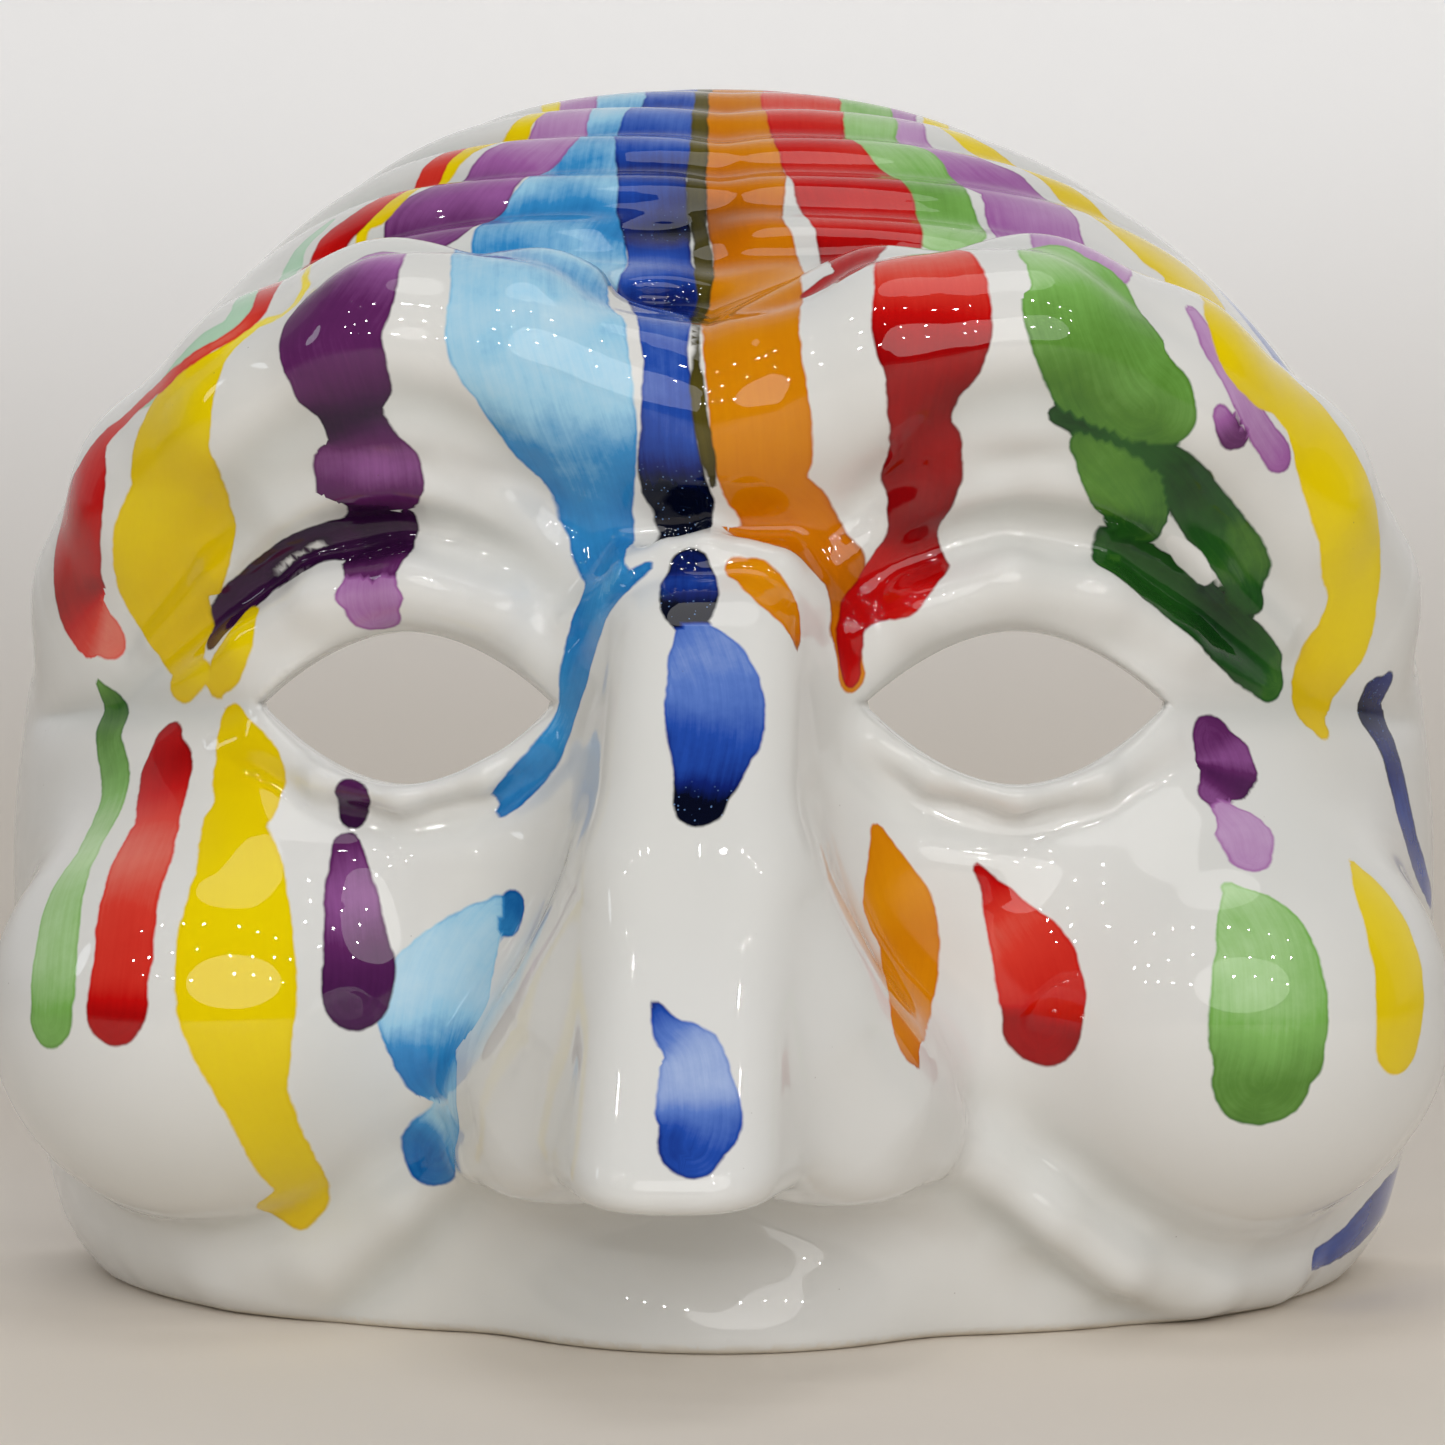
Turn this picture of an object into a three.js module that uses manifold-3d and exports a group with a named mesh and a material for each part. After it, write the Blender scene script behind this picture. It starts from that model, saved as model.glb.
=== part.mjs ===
// Glazed ceramic half mask: a hollow slip-cast shell with a furrowed brow, two clay lugs inside
// the crown, and a wire bail that swings in them. Millimetres, +Z up, the face looks along -Y, and
// the ground foot stands on Z = 0.
//
// The form is worked out in the face's own coordinates: x to the right, depth forward from the
// wall plane of the back rim, and z up from the eye line. It is a field, in millimetres, that is
// negative inside the clay.
import * as THREE from "three";
import { mergeVertices } from "three/addons/utils/BufferGeometryUtils.js";
import Module from "manifold-3d";

const wasm = await Module();
wasm.setup();

// ---------------------------------------------------------------- driving dimensions
const DEPTH = 109; // back rim to the tip of the nose
const CROWN = 78; // eye line to the top of the crown
const FOOT = 67; // eye line down to the ground foot
const BROW_HALF = 84; // half width across the brow
const CHEEK_GROWTH = 4.5; // how much wider each cheek is than the brow
const DOME_DEPTH = 70; // depth of the plain dome in front of the rim
const WALL = 5; // cast wall
const EYE = { inner: 16.8, outer: 49.7, level: 2, rise: 7.9, fall: 8.7 };
const NOSE = { rootZ: 15, rootDepth: 78, tipZ: -44, tipDepth: 110, half: 8.4, under: 47, topZ: 17 };
const PIVOT = { x: 45.5, depth: 10, z: 50.5 }; // middle of the right lug's hole
const LUG = { thick: 6, radius: 4.6, flare: 1.5, hole: 1.4, gap: 0.3 };
const ROOM = 120; // half size of the box that the shell is trimmed in
const LUG_REACH = 20; // how far up each lug is drawn before the hollow trims it
const WIRE = { radius: 1, reach: 15, tip: 4, shoulder: 41, end: 50 };

// Round masses of the face, each on both sides: centre and radii in x, depth and z.
const CHEEK = { centre: [55, 47, -32], radii: [27, 29, 25] };
const SOCKET = { centre: [32, 79, 1], radii: [23, 18, 12] };
const WING = { centre: [15, 76, -41.5], radii: [10, 21, 7.5] };

// Lengths over which two masses run into each other.
const SOFT = { links: 2, brow: 7, cheek: 9, socket: 7, nose: 8, wing: 6, bridge: 4.5, underNose: 5 };

const DOME_BEND = { plan: 2.3, crown: 1.9 }; // 2 would be an ellipse, more is squarer
const LID_BEND = 1.9; // the same for the eye opening's lids
const SKIN_STEP = 7.5; // degrees between the points of the cast inside
const FOLD_SPREAD = 1.4; // reach of a crease's bell-shaped section over its width

const BACK_Y = DEPTH / 2;
const RAD = Math.PI / 180;

// ---------------------------------------------------------------- field helpers
const clamp01 = (v) => Math.min(1, Math.max(0, v));
const join = (a, b, soft) => {
  const h = clamp01(0.5 + (0.5 * (b - a)) / soft);
  return b * (1 - h) + a * h - soft * h * (1 - h);
};
const cut = (a, b, soft) => -join(-a, -b, soft);
const ease = (v, from, to) => {
  const t = clamp01((v - from) / (to - from));
  return t * t * (3 - 2 * t);
};

function ellipsoid(p, { centre, radii }) {
  const q = p.map((v, i) => v - centre[i]);
  const near = Math.hypot(...q.map((v, i) => v / radii[i]));
  const far = Math.hypot(...q.map((v, i) => v / radii[i] ** 2));
  return (near * (near - 1)) / Math.max(far, 1e-6);
}

// Distance to a chain of round links, each point being x, depth, z and radius.
function chain(p, points) {
  let best = Infinity;
  for (let i = 0; i + 1 < points.length; i++) {
    const [a, b] = [points[i], points[i + 1]];
    const u = [0, 1, 2].map((k) => b[k] - a[k]);
    const along = [0, 1, 2].reduce((sum, k) => sum + (p[k] - a[k]) * u[k], 0);
    const t = clamp01(along / (u[0] ** 2 + u[1] ** 2 + u[2] ** 2));
    const off = Math.hypot(...[0, 1, 2].map((k) => p[k] - a[k] - t * u[k]));
    const f = off - (a[3] + t * (b[3] - a[3]));
    best = best === Infinity ? f : join(best, f, SOFT.links);
  }
  return best;
}

// ---------------------------------------------------------------- masses of the face
function dome([across, depth, z]) {
  const { plan: bend, crown } = DOME_BEND;
  const x = Math.abs(across) + 1e-6; // keeps the ratio below defined on the upright axis
  const jowl = 0.004 * Math.min(z + 22, 0) ** 2 + 4 * ease(z, -50, -70);
  const half = BROW_HALF + CHEEK_GROWTH * ease(z, 14, -16) - jowl;
  const deep = DOME_DEPTH - 0.0022 * Math.min(z + 5, 0) ** 2;
  const plan = ((x / half) ** bend + (Math.abs(depth) / deep) ** bend) ** (1 / bend);
  const up = Math.max(z, 0);
  const rho = (plan ** crown + (up / CROWN) ** crown) ** (1 / crown);
  return Math.hypot(x, depth, up) * (1 - 1 / rho);
}

// x, depth, z and radius along the brow, from beside the nose to the temple
const BROW = [
  [8, 62, 34, 12.5],
  [20, 62, 38, 13.5],
  [34, 60, 38.5, 14],
  [47, 53, 33, 14],
  [59, 42, 24, 13.5],
  [68, 29, 13, 12.5],
];

function nose([x, depth, z]) {
  const slope = (NOSE.tipDepth - NOSE.rootDepth) / (NOSE.rootZ - NOSE.tipZ);
  const ridge = NOSE.rootDepth + (NOSE.rootZ - z) * slope;
  const lean = 0.6 + (z - NOSE.rootZ) * 0.035;
  const half = NOSE.half + 0.26 * Math.max(ridge - depth, 0);
  let f = (depth - ridge) / Math.hypot(1, slope);
  f = cut(f, (Math.abs(x - lean) - half) / 1.04, SOFT.bridge);
  f = cut(f, -z - NOSE.under + (NOSE.tipDepth - depth) * 0.05, SOFT.underNose);
  return cut(f, z - NOSE.topZ, SOFT.nose);
}

function face([x, depth, z]) {
  const p = [Math.abs(x), depth, z];
  let f = dome(p);
  f = join(f, chain(p, BROW), SOFT.brow);
  f = join(f, ellipsoid(p, CHEEK), SOFT.cheek);
  f = cut(f, -ellipsoid(p, SOCKET), SOFT.socket);
  f = join(f, nose([x, depth, z]), SOFT.nose);
  return join(f, ellipsoid(p, WING), SOFT.wing);
}

// The cast inside follows the face one wall behind it.
const inside = (gap) => (p) => face(p) + WALL + gap;

// First crossing of the field along a ray from an origin, by halving.
function surface(field, origin, ray, far = 170, steps = 34) {
  const at = (r) => origin.map((v, i) => v + ray[i] * r);
  let low = 1;
  let high = far;
  for (let r = 4; r <= far; r += 4) {
    if (field(at(r)) > 0) {
      high = r;
      break;
    }
    low = r;
  }
  for (let i = 0; i < steps; i++) {
    const mid = (low + high) / 2;
    if (field(at(mid)) > 0) high = mid;
    else low = mid;
  }
  return at(high);
}

// ---------------------------------------------------------------- creases between the rolls
// Front curves run through x, z and depth of the crease; pitched ones through x, pitch in degrees and depth.
const MIRRORED = true;
const CREASES = [
  // over the eye, from the brow down to the lid
  { sides: MIRRORED, width: 1.5, points: [
    [14, 19, 0.3], [20, 26.2, 1.5], [26, 31.5, 2.2], [34, 34.7, 2.4], [43.5, 32.3, 2.4],
    [52.5, 25, 2], [59, 18.3, 1.2], [66, 9, 0.3],
  ] },
  { sides: MIRRORED, width: 1.5, points: [
    [15, 15, 0.5], [22, 22.5, 1.2], [32.6, 26.2, 1.4], [43.2, 24.5, 1.3], [52.2, 18.8, 0.8],
    [60, 12, 0.2],
  ] },
  { sides: MIRRORED, width: 1.5, points: [
    [14, 10, 1.2], [16, 13.5, 1.8], [22, 17.2, 2], [32.6, 19.6, 2.2], [44, 18, 2.2],
    [53, 12.5, 2], [61, 7, 1.4], [67, 3, 0.5],
  ] },
  // above the brow
  { sides: MIRRORED, width: 1.8, points: [
    [0, 44.5, 0.8], [5, 44.8, 1.4], [10, 46.2, 2], [16, 50, 2.2], [24, 51.8, 2.2],
    [33, 52.2, 2], [39, 50.5, 1.5], [46, 45, 1], [53, 40.5, 0.6], [60, 35, 0.3],
  ] },
  // forehead furrows, each further over the crown
  { sides: MIRRORED, pitched: true, width: 1.6, points: [
    [0, 46.5, 2], [11, 47, 1.8], [20, 48, 1.4], [36, 50, 0.2],
  ] },
  { sides: MIRRORED, pitched: true, width: 1.6, points: [
    [0, 53.5, 1.5], [12, 53.5, 1.6], [24, 54.5, 1.6], [38, 56, 1.2], [50, 58, 0.4],
  ] },
  { sides: MIRRORED, pitched: true, width: 1.6, points: [
    [0, 59.5, 1.4], [15, 60.5, 1.5], [30, 63, 1.5], [42, 67, 1.2], [52, 71, 0.4],
  ] },
  { sides: MIRRORED, pitched: true, width: 1.6, points: [
    [0, 66.5, 1.3], [15, 68, 1.4], [30, 71, 1.4], [42, 76, 1], [50, 80, 0.3],
  ] },
  { sides: MIRRORED, pitched: true, width: 1.6, points: [
    [0, 74, 1.1], [15, 76, 1.2], [30, 80, 1], [40, 86, 0.3],
  ] },
  { sides: MIRRORED, pitched: true, width: 1.6, points: [
    [0, 82, 0.8], [15, 84, 0.8], [28, 88, 0.3],
  ] },
  // root of the nose
  { width: 1.5, points: [
    [-15, 12, 0.5], [-10.8, 17, 1.5], [-4.5, 20.4, 2], [1.7, 20.9, 2], [9, 19, 1.8],
    [15.3, 12.8, 0.8],
  ] },
  // under the lower lid, and out from the eye's outer corner
  { sides: MIRRORED, width: 1.6, points: [
    [15, -3, 0.4], [20, -7, 1], [27, -9.8, 1.2], [34, -10.6, 1.2], [42, -9, 1], [49, -5, 0.7],
    [56, -2, 0.3],
  ] },
  { sides: MIRRORED, width: 1.6, points: [
    [50, 2, 1.2], [56, 1.5, 1.5], [63, 1.5, 1.3], [70, 1, 1], [78, 0, 0.3],
  ] },
  // below each cheek and from each nostril, modelled by hand and not quite alike
  { width: 2.2, points: [
    [34, -30, 0.3], [37, -36, 1], [41, -44, 1.8], [45, -51, 2.2], [50, -57.5, 2.2],
    [56, -61.5, 1.8], [64, -63, 1],
  ] },
  { width: 2, points: [
    [25, -46, 0.8], [27, -50, 1.8], [32.3, -55.5, 2.2], [38.6, -61, 2], [45, -65, 1.2],
  ] },
  { width: 2.2, points: [
    [-24, -42, 0.4], [-29, -45.5, 1.4], [-35.4, -49.5, 2], [-45, -56.5, 2.2], [-57, -59.5, 1.8],
    [-68, -58.5, 1], [-76, -55, 0.3],
  ] },
  { width: 2, points: [
    [-25, -47, 0.8], [-27, -52, 1.6], [-33, -58, 1.8], [-40, -63, 1.5], [-50, -66, 0.8],
  ] },
];

function creasePaths() {
  const paths = [];
  for (const { sides, pitched, width, points } of CREASES) {
    const smooth = new THREE.CatmullRomCurve3(points.map((p) => new THREE.Vector3(...p)));
    const lifted = smooth.getPoints(points.length * 3).map(({ x, y, z: hollow }) => {
      const up = pitched ? [0, Math.cos(y * RAD), Math.sin(y * RAD)] : [0, 1, 0];
      const origin = pitched ? [x, 0, 0] : [x, 0, y];
      return [...surface(face, origin, up), hollow];
    });
    paths.push({ width, lifted });
    if (sides) paths.push({ width, lifted: lifted.map(([x, ...rest]) => [-x, ...rest]) });
  }
  return paths;
}
const PATHS = creasePaths();

// How far the creases push the surface in at a point of it.
function hollowAt(p) {
  let total = 0;
  for (const { width, lifted } of PATHS) {
    let nearest = Infinity;
    let hollow = 0;
    for (let i = 0; i + 1 < lifted.length; i++) {
      const [a, b] = [lifted[i], lifted[i + 1]];
      const u = [0, 1, 2].map((k) => b[k] - a[k]);
      const along = [0, 1, 2].reduce((sum, k) => sum + (p[k] - a[k]) * u[k], 0);
      const t = clamp01(along / (u[0] ** 2 + u[1] ** 2 + u[2] ** 2));
      const off = Math.hypot(...[0, 1, 2].map((k) => p[k] - a[k] - t * u[k]));
      if (off < nearest) {
        nearest = off;
        hollow = a[3] + t * (b[3] - a[3]);
      }
    }
    total += hollow * Math.exp(-((nearest / (FOLD_SPREAD * width)) ** 2));
  }
  return total;
}

// ---------------------------------------------------------------- solids
const toPart = ([x, depth, z]) => [x, BACK_Y - depth, z + FOOT];

function solid(geometry) {
  const bare = new THREE.BufferGeometry();
  const flat = geometry.index ? geometry.toNonIndexed() : geometry;
  bare.setAttribute("position", flat.getAttribute("position"));
  const merged = mergeVertices(bare, 1e-4);
  return new wasm.Manifold(
    new wasm.Mesh({
      numProp: 3,
      vertProperties: merged.attributes.position.array,
      triVerts: new Uint32Array(merged.index.array),
    }),
  );
}

function geometryOf(body) {
  const mesh = body.getMesh();
  const geometry = new THREE.BufferGeometry();
  geometry.setAttribute("position", new THREE.BufferAttribute(mesh.vertProperties, 3));
  geometry.setIndex(new THREE.BufferAttribute(mesh.triVerts, 1));
  geometry.computeVertexNormals();
  return geometry;
}

// A closed skin round the middle of the head: rows turn about the X axis, and columns run from side to side.
// Each four-cornered patch is split along its shorter diagonal.
function skin(rows, columns, pointAt) {
  const positions = [];
  const index = [];
  const middle = columns.length - 2;
  const add = (p) => positions.push(...toPart(p));
  add(pointAt([-1, 0, 0]));
  for (const pitch of rows) {
    for (const side of columns.slice(1, -1)) {
      const c = Math.cos(side * RAD);
      add(pointAt([Math.sin(side * RAD), c * Math.cos(pitch * RAD), c * Math.sin(pitch * RAD)]));
    }
  }
  add(pointAt([1, 0, 0]));
  const right = positions.length / 3 - 1;
  const apart = (i, j) => Math.hypot(...[0, 1, 2].map((k) => positions[3 * i + k] - positions[3 * j + k]));
  rows.forEach((_, i) => {
    const here = 1 + i * middle;
    const next = 1 + ((i + 1) % rows.length) * middle;
    index.push(0, here, next);
    for (let j = 0; j + 1 < middle; j++) {
      const [a, b, c, d] = [here + j, here + j + 1, next + j + 1, next + j];
      index.push(...(apart(a, c) < apart(b, d) ? [a, b, c, a, c, d] : [a, b, d, b, c, d]));
    }
    index.push(right, next + middle - 1, here + middle - 1);
  });
  const geometry = new THREE.BufferGeometry();
  geometry.setAttribute("position", new THREE.BufferAttribute(new Float32Array(positions), 3));
  geometry.setIndex(index);
  return solid(geometry);
}

const steps = (from, to, step) => {
  const count = Math.round((to - from) / step);
  return Array.from({ length: count + 1 }, (_, i) => from + ((to - from) * i) / count);
};

function box(from, to) {
  const size = to.map((v, i) => v - from[i]);
  const geometry = new THREE.BoxGeometry(...size);
  geometry.translate(...from.map((v, i) => v + size[i] / 2));
  return solid(geometry);
}

// Almond cut straight through the wall, from front to back.
function eyeHole(side) {
  const { inner, outer, level, rise, fall } = EYE;
  const middle = (inner + outer) / 2;
  const half = (outer - inner) / 2;
  const edge = (t, height) => new THREE.Vector2(
    side * (middle + half * t),
    level + FOOT + height * (1 - Math.abs(t) ** LID_BEND),
  );
  const along = steps(-1, 1, 0.2);
  const upper = along.map((t) => edge(t, rise));
  const lower = along.slice(1, -1).toReversed().map((t) => edge(t, -fall));
  const geometry = new THREE.ExtrudeGeometry(new THREE.Shape([...upper, ...lower]), {
    depth: DEPTH,
    bevelEnabled: false,
  });
  geometry.rotateX(90 * RAD);
  geometry.translate(0, BACK_Y - 20, 0);
  return solid(geometry);
}

// The hollow inside the wall, or that hollow shrunk by a gap.
function castInside(gap) {
  const rows = steps(0, 360 - SKIN_STEP, SKIN_STEP);
  const columns = steps(-90, 90, SKIN_STEP);
  return skin(rows, columns, (ray) => surface(inside(gap), [0, 0, 0], ray));
}

function shell() {
  // Close together over the nose, eyes and brow, wider over the crown and the sides, widest behind the rim.
  const rows = [...steps(-58, 48, 2.3), ...steps(51, 99, 4), ...steps(115, 285, 17)];
  const sides = steps(24, 90, 4);
  const columns = [...sides.map((v) => -v).toReversed(), ...steps(-22, 22, 2), ...sides];
  const outer = skin(rows, columns, (ray) => {
    const p = surface(face, [0, 0, 0], ray);
    const hollow = ray[1] > 0 ? hollowAt(p) : 0;
    return p.map((v, i) => v - ray[i] * hollow);
  });
  const room = box([-ROOM, -ROOM, 0], [ROOM, BACK_Y, 2 * ROOM]);
  return outer.intersect(room).subtract(castInside(0)).subtract(eyeHole(1)).subtract(eyeHole(-1));
}

// Pierced clay tab that grows down out of the crown: a round end about the hole, and a neck up to the clay.
function lug(side) {
  const y = BACK_Y - PIVOT.depth;
  const z = FOOT + PIVOT.z;
  const outline = new THREE.Shape();
  outline.absarc(0, 0, LUG.radius, Math.PI, 2 * Math.PI, false);
  outline.lineTo(LUG.radius + LUG.flare, LUG_REACH);
  outline.lineTo(-LUG.radius - LUG.flare, LUG_REACH);
  outline.closePath();
  const hole = new THREE.Path();
  hole.absarc(0, 0, LUG.hole, 0, 2 * Math.PI, true);
  outline.holes.push(hole);
  const geometry = new THREE.ExtrudeGeometry(outline, {
    depth: LUG.thick,
    bevelEnabled: false,
    curveSegments: 14,
  });
  geometry.translate(0, 0, -LUG.thick / 2);
  geometry.rotateX(90 * RAD);
  geometry.rotateZ(90 * RAD);
  geometry.translate(side * PIVOT.x, y, z);
  return solid(geometry).intersect(castInside(LUG.gap));
}

// The wire lies in one plane through the lug holes and hangs in a shallow V, whose tip takes the nail.
function bail() {
  const { radius, reach, tip, shoulder, end } = WIRE;
  const right = [
    [end, 0],
    [shoulder + 2, 0],
    [shoulder, -0.3],
    [shoulder - 3, -1.2],
    [tip + 2, 1.4 - reach],
    [tip - 1, 0.4 - reach],
  ];
  const points = [...right, [0, -reach], ...right.toReversed().map(([x, z]) => [-x, z])];
  const path = new THREE.CatmullRomCurve3(
    points.map(([x, z]) => new THREE.Vector3(x, 0, z)),
    false,
    "centripetal",
  );
  const section = new THREE.Shape();
  section.absarc(0, 0, radius, 0, 2 * Math.PI, false);
  return new THREE.ExtrudeGeometry(section, {
    steps: 56,
    extrudePath: path,
    curveSegments: 8,
    bevelEnabled: false,
  });
}

// ---------------------------------------------------------------- materials and assembly
const glaze = new THREE.MeshStandardMaterial({ color: 0xe6e4df, roughness: 0.12, metalness: 0 });
const clay = new THREE.MeshStandardMaterial({ color: 0xe2ddd2, roughness: 0.3, metalness: 0 });
const steel = new THREE.MeshStandardMaterial({ color: 0xa9adb1, roughness: 0.35, metalness: 1 });

const group = new THREE.Group();
function place(name, geometry, material) {
  const mesh = new THREE.Mesh(geometry, material);
  mesh.name = name;
  group.add(mesh);
  return mesh;
}

place("mask_shell", geometryOf(shell()), glaze);
place("hanging_lug_right", geometryOf(lug(1)), clay);
place("hanging_lug_left", geometryOf(lug(-1)), clay);
place("hanging_bail", bail(), steel).position.set(0, BACK_Y - PIVOT.depth, FOOT + PIVOT.z);

export default group;
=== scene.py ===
"""Glazed ceramic half mask with brushed colours, its two hanging lugs and wire bail.

The face's own coordinates are in millimetres: x to the right, depth forward from the wall plane of the
back rim, and z up from the eye line. The form is a field in them that is negative inside the clay, and
part() turns them into the CAD frame.
"""
import math

import bpy
import numpy as np
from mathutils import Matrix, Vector


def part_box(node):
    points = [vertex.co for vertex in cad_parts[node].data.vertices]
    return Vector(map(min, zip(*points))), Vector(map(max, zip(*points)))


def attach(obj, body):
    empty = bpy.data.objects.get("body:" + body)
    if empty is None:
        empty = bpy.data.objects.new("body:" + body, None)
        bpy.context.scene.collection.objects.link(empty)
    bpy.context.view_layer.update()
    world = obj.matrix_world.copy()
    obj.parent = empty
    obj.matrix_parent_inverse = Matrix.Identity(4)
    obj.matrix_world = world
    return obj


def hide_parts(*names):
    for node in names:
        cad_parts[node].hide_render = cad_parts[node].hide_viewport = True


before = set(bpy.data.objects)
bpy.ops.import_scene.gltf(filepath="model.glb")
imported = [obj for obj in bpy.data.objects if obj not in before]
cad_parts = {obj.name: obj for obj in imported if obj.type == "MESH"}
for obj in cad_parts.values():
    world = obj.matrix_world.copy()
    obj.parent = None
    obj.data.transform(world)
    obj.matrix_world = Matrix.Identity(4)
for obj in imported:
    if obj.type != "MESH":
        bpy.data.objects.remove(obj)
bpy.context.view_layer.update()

SHELL_LOW, SHELL_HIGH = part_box("mask_shell")
BACK_Y = SHELL_HIGH.y * 1000  # wall plane of the back rim
EYE_LEVEL = 67.0  # eye line above the ground foot
SOLE_Z = SHELL_LOW.z * 1000 - EYE_LEVEL  # the ground foot in face coordinates

# ---------------------------------------------------------------- driving dimensions of the form
CROWN = 79.8
CROWN_SWELL = 2.2  # the crown stands a little higher on the left
DOME_DEPTH = 70.0
BROW_HALF = {-1: 87.0, 1: 85.0}  # half width across the brow on the left and on the right
CHEEK_GROWTH = {-1: 2.4, 1: 2.0}
PLAN_BEND, CROWN_BEND = 2.3, 1.9
WALL = 5.0
EYE = dict(inner=16.8, outer=49.7, level=2.0, rise=7.9, fall=8.7, bend=1.9)
NOSE = dict(
    root_z=15.0, root_depth=78.0, tip_z=-44.0, tip_depth=109.6,
    half=8.4, under=47.0, top_z=17.0, flare=0.32, drift=0.035,
)
EDGE = 1.3  # rounding of the eye openings
RIM = 1.6  # rounding of the back rim and the foot
FOOT_CORNER = 7.0  # extra rounding where the foot meets the cheeks' outer sides
DRAWN = (-94, -4, -70), (94, 114, 82)  # corners of the grid around the whole face
PIVOT = dict(x=45.5, depth=10.0, z=50.5)  # middle of the right lug's hole
LUG = dict(half_thick=3.0, radius=4.6, hole=1.4, spread=2.0, sunk=0.35)
BAIL = dict(radius=1.0, reach=15.0, tip=4.0, shoulder=41.0, end=50.0)
DEEPEST = 4.4  # no crease comes closer than this to the inside of the wall
CELL = 0.78  # pitch of the grid that the glazed surface is drawn on

# Rolls of clay, each a chain of x, depth, z and radius
BROW = [
    (8, 62, 34, 12.5), (20, 62, 38, 13.5), (34, 60, 38.5, 14.3), (47, 53, 33.5, 14.6),
    (60, 42, 25, 14.2), (69, 29.6, 15.2, 12.4),
]
OVER_LID = [
    (16.5, 64.5, 17.5, 3.2), (22, 64.4, 22.6, 4.2), (29, 64.4, 26, 4.8), (37, 63.6, 26.8, 5),
    (46, 60, 23.2, 4.8), (54, 55, 17, 4.2), (62, 49, 9.5, 3.4),
]
UPPER_LID = [
    (17, 64, 7, 3), (22, 65, 12.2, 3.8), (32, 63.6, 15.2, 4.3), (42, 60.4, 13.8, 4.3),
    (51, 56, 9, 3.8), (58, 51, 4.6, 3),
]
LOWER_LID = [
    (18, 66.5, -2, 1.6), (24, 66.8, -5.6, 2), (33, 66, -7.8, 2.1), (42, 63, -6.2, 2),
    (49, 58.6, -2, 1.6),
]
NASION = [
    (-14, 68, 11.5, 2), (-8, 71, 16.6, 2.4), (0, 72, 18.6, 2.5), (8, 70.6, 17, 2.4),
    (15, 67, 10.5, 2),
]
RIGHT_FOLD = [
    (22, 64, -44.5, 4), (29, 62.6, -48, 4.6), (36, 60.6, -53, 5), (44, 56.4, -58, 5.2),
    (54, 48, -61.5, 5.2), (62, 39, -63, 5),
]
LEFT_FOLD = [
    (-24, 62, -46, 4), (-33, 58, -52, 5), (-43, 53.4, -58, 5), (-54, 45.4, -61.5, 5),
    (-63, 36.6, -61, 4.4),
]
WING = [(6, 84, -18, 5), (10, 81, -31, 8), (13.6, 76, -39, 10), (17, 70, -42, 9), (19.5, 62, -43, 7)]

# Round masses: centre and radii in x, depth and z
CHEEK = (55, 47, -32), (27, 29, 25)
SOCKET = (32, 79, 1), (23, 18, 12)
GLABELLA = (1.5, 62.5, 31.5), (9.5, 11.6, 11.5)
LIP = (0, 57, -66), (21, 14, 13)


# ---------------------------------------------------------------- field helpers
def join(a, b, soft):
    """Union of two fields, rounded over a width of soft."""
    h = np.clip(0.5 + 0.5 * (b - a) / soft, 0, 1)
    return b * (1 - h) + a * h - soft * h * (1 - h)


def cut(a, b, soft):
    """What two fields have in common, rounded in the same way."""
    return -join(-a, -b, soft)


def ease(v, start, end):
    t = np.clip((v - start) / (end - start), 0, 1)
    return t * t * (3 - 2 * t)


def ellipsoid(p, centre, radii):
    q = (p - centre) / radii
    near = np.linalg.norm(q, axis=1)
    far = np.linalg.norm(q / radii, axis=1)
    return near * (near - 1) / np.maximum(far, 1e-6)


def chain(p, points, soft=2.0):
    """Distance to round links between points of x, depth, z and radius."""
    best = None
    for a, b in zip(points[:-1], points[1:]):
        a, b = np.array(a, float), np.array(b, float)
        u = b[:3] - a[:3]
        t = np.clip((p - a[:3]) @ u / (u @ u), 0, 1)
        f = np.linalg.norm(p - a[:3] - t[:, None] * u, axis=1) - (a[3] + t * (b[3] - a[3]))
        best = f if best is None else join(best, f, soft)
    return best


# ---------------------------------------------------------------- masses of the face
def dome(p):
    x, d, z = p.T
    jowl = 0.004 * np.minimum(z + 22, 0) ** 2
    half, growth = (np.where(x < 0, values[-1], values[1]) for values in (BROW_HALF, CHEEK_GROWTH))
    half = half + growth * ease(z, 14, -16) - jowl
    deep = DOME_DEPTH - 0.0022 * np.minimum(z + 5, 0) ** 2
    plan = ((np.abs(x) / half) ** PLAN_BEND + (np.abs(d) / deep) ** PLAN_BEND) ** (1 / PLAN_BEND)
    up = np.maximum(z, 0)
    crown = CROWN + CROWN_SWELL * np.exp(-(((x + 38) / 24) ** 2))
    rho = (plan**CROWN_BEND + (up / crown) ** CROWN_BEND) ** (1 / CROWN_BEND)
    return np.sqrt(x * x + d * d + up * up) * (1 - 1 / np.maximum(rho, 1e-6))


def nose(p):
    x, d, z = p.T
    x = x - 0.6 - (z - NOSE["root_z"]) * NOSE["drift"]
    slope = (NOSE["tip_depth"] - NOSE["root_depth"]) / (NOSE["root_z"] - NOSE["tip_z"])
    ridge = NOSE["root_depth"] + (NOSE["root_z"] - z) * slope
    f = (d - ridge) / math.hypot(1, slope)
    half = NOSE["half"] + NOSE["flare"] * np.maximum(ridge - d, 0)
    f = cut(f, (np.abs(x) - half) / 1.05, 5.0)
    f = cut(f, -z - NOSE["under"] + (NOSE["tip_depth"] - d) * 0.05, 5.0)
    return cut(f, z - NOSE["top_z"], 8.0)


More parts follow.
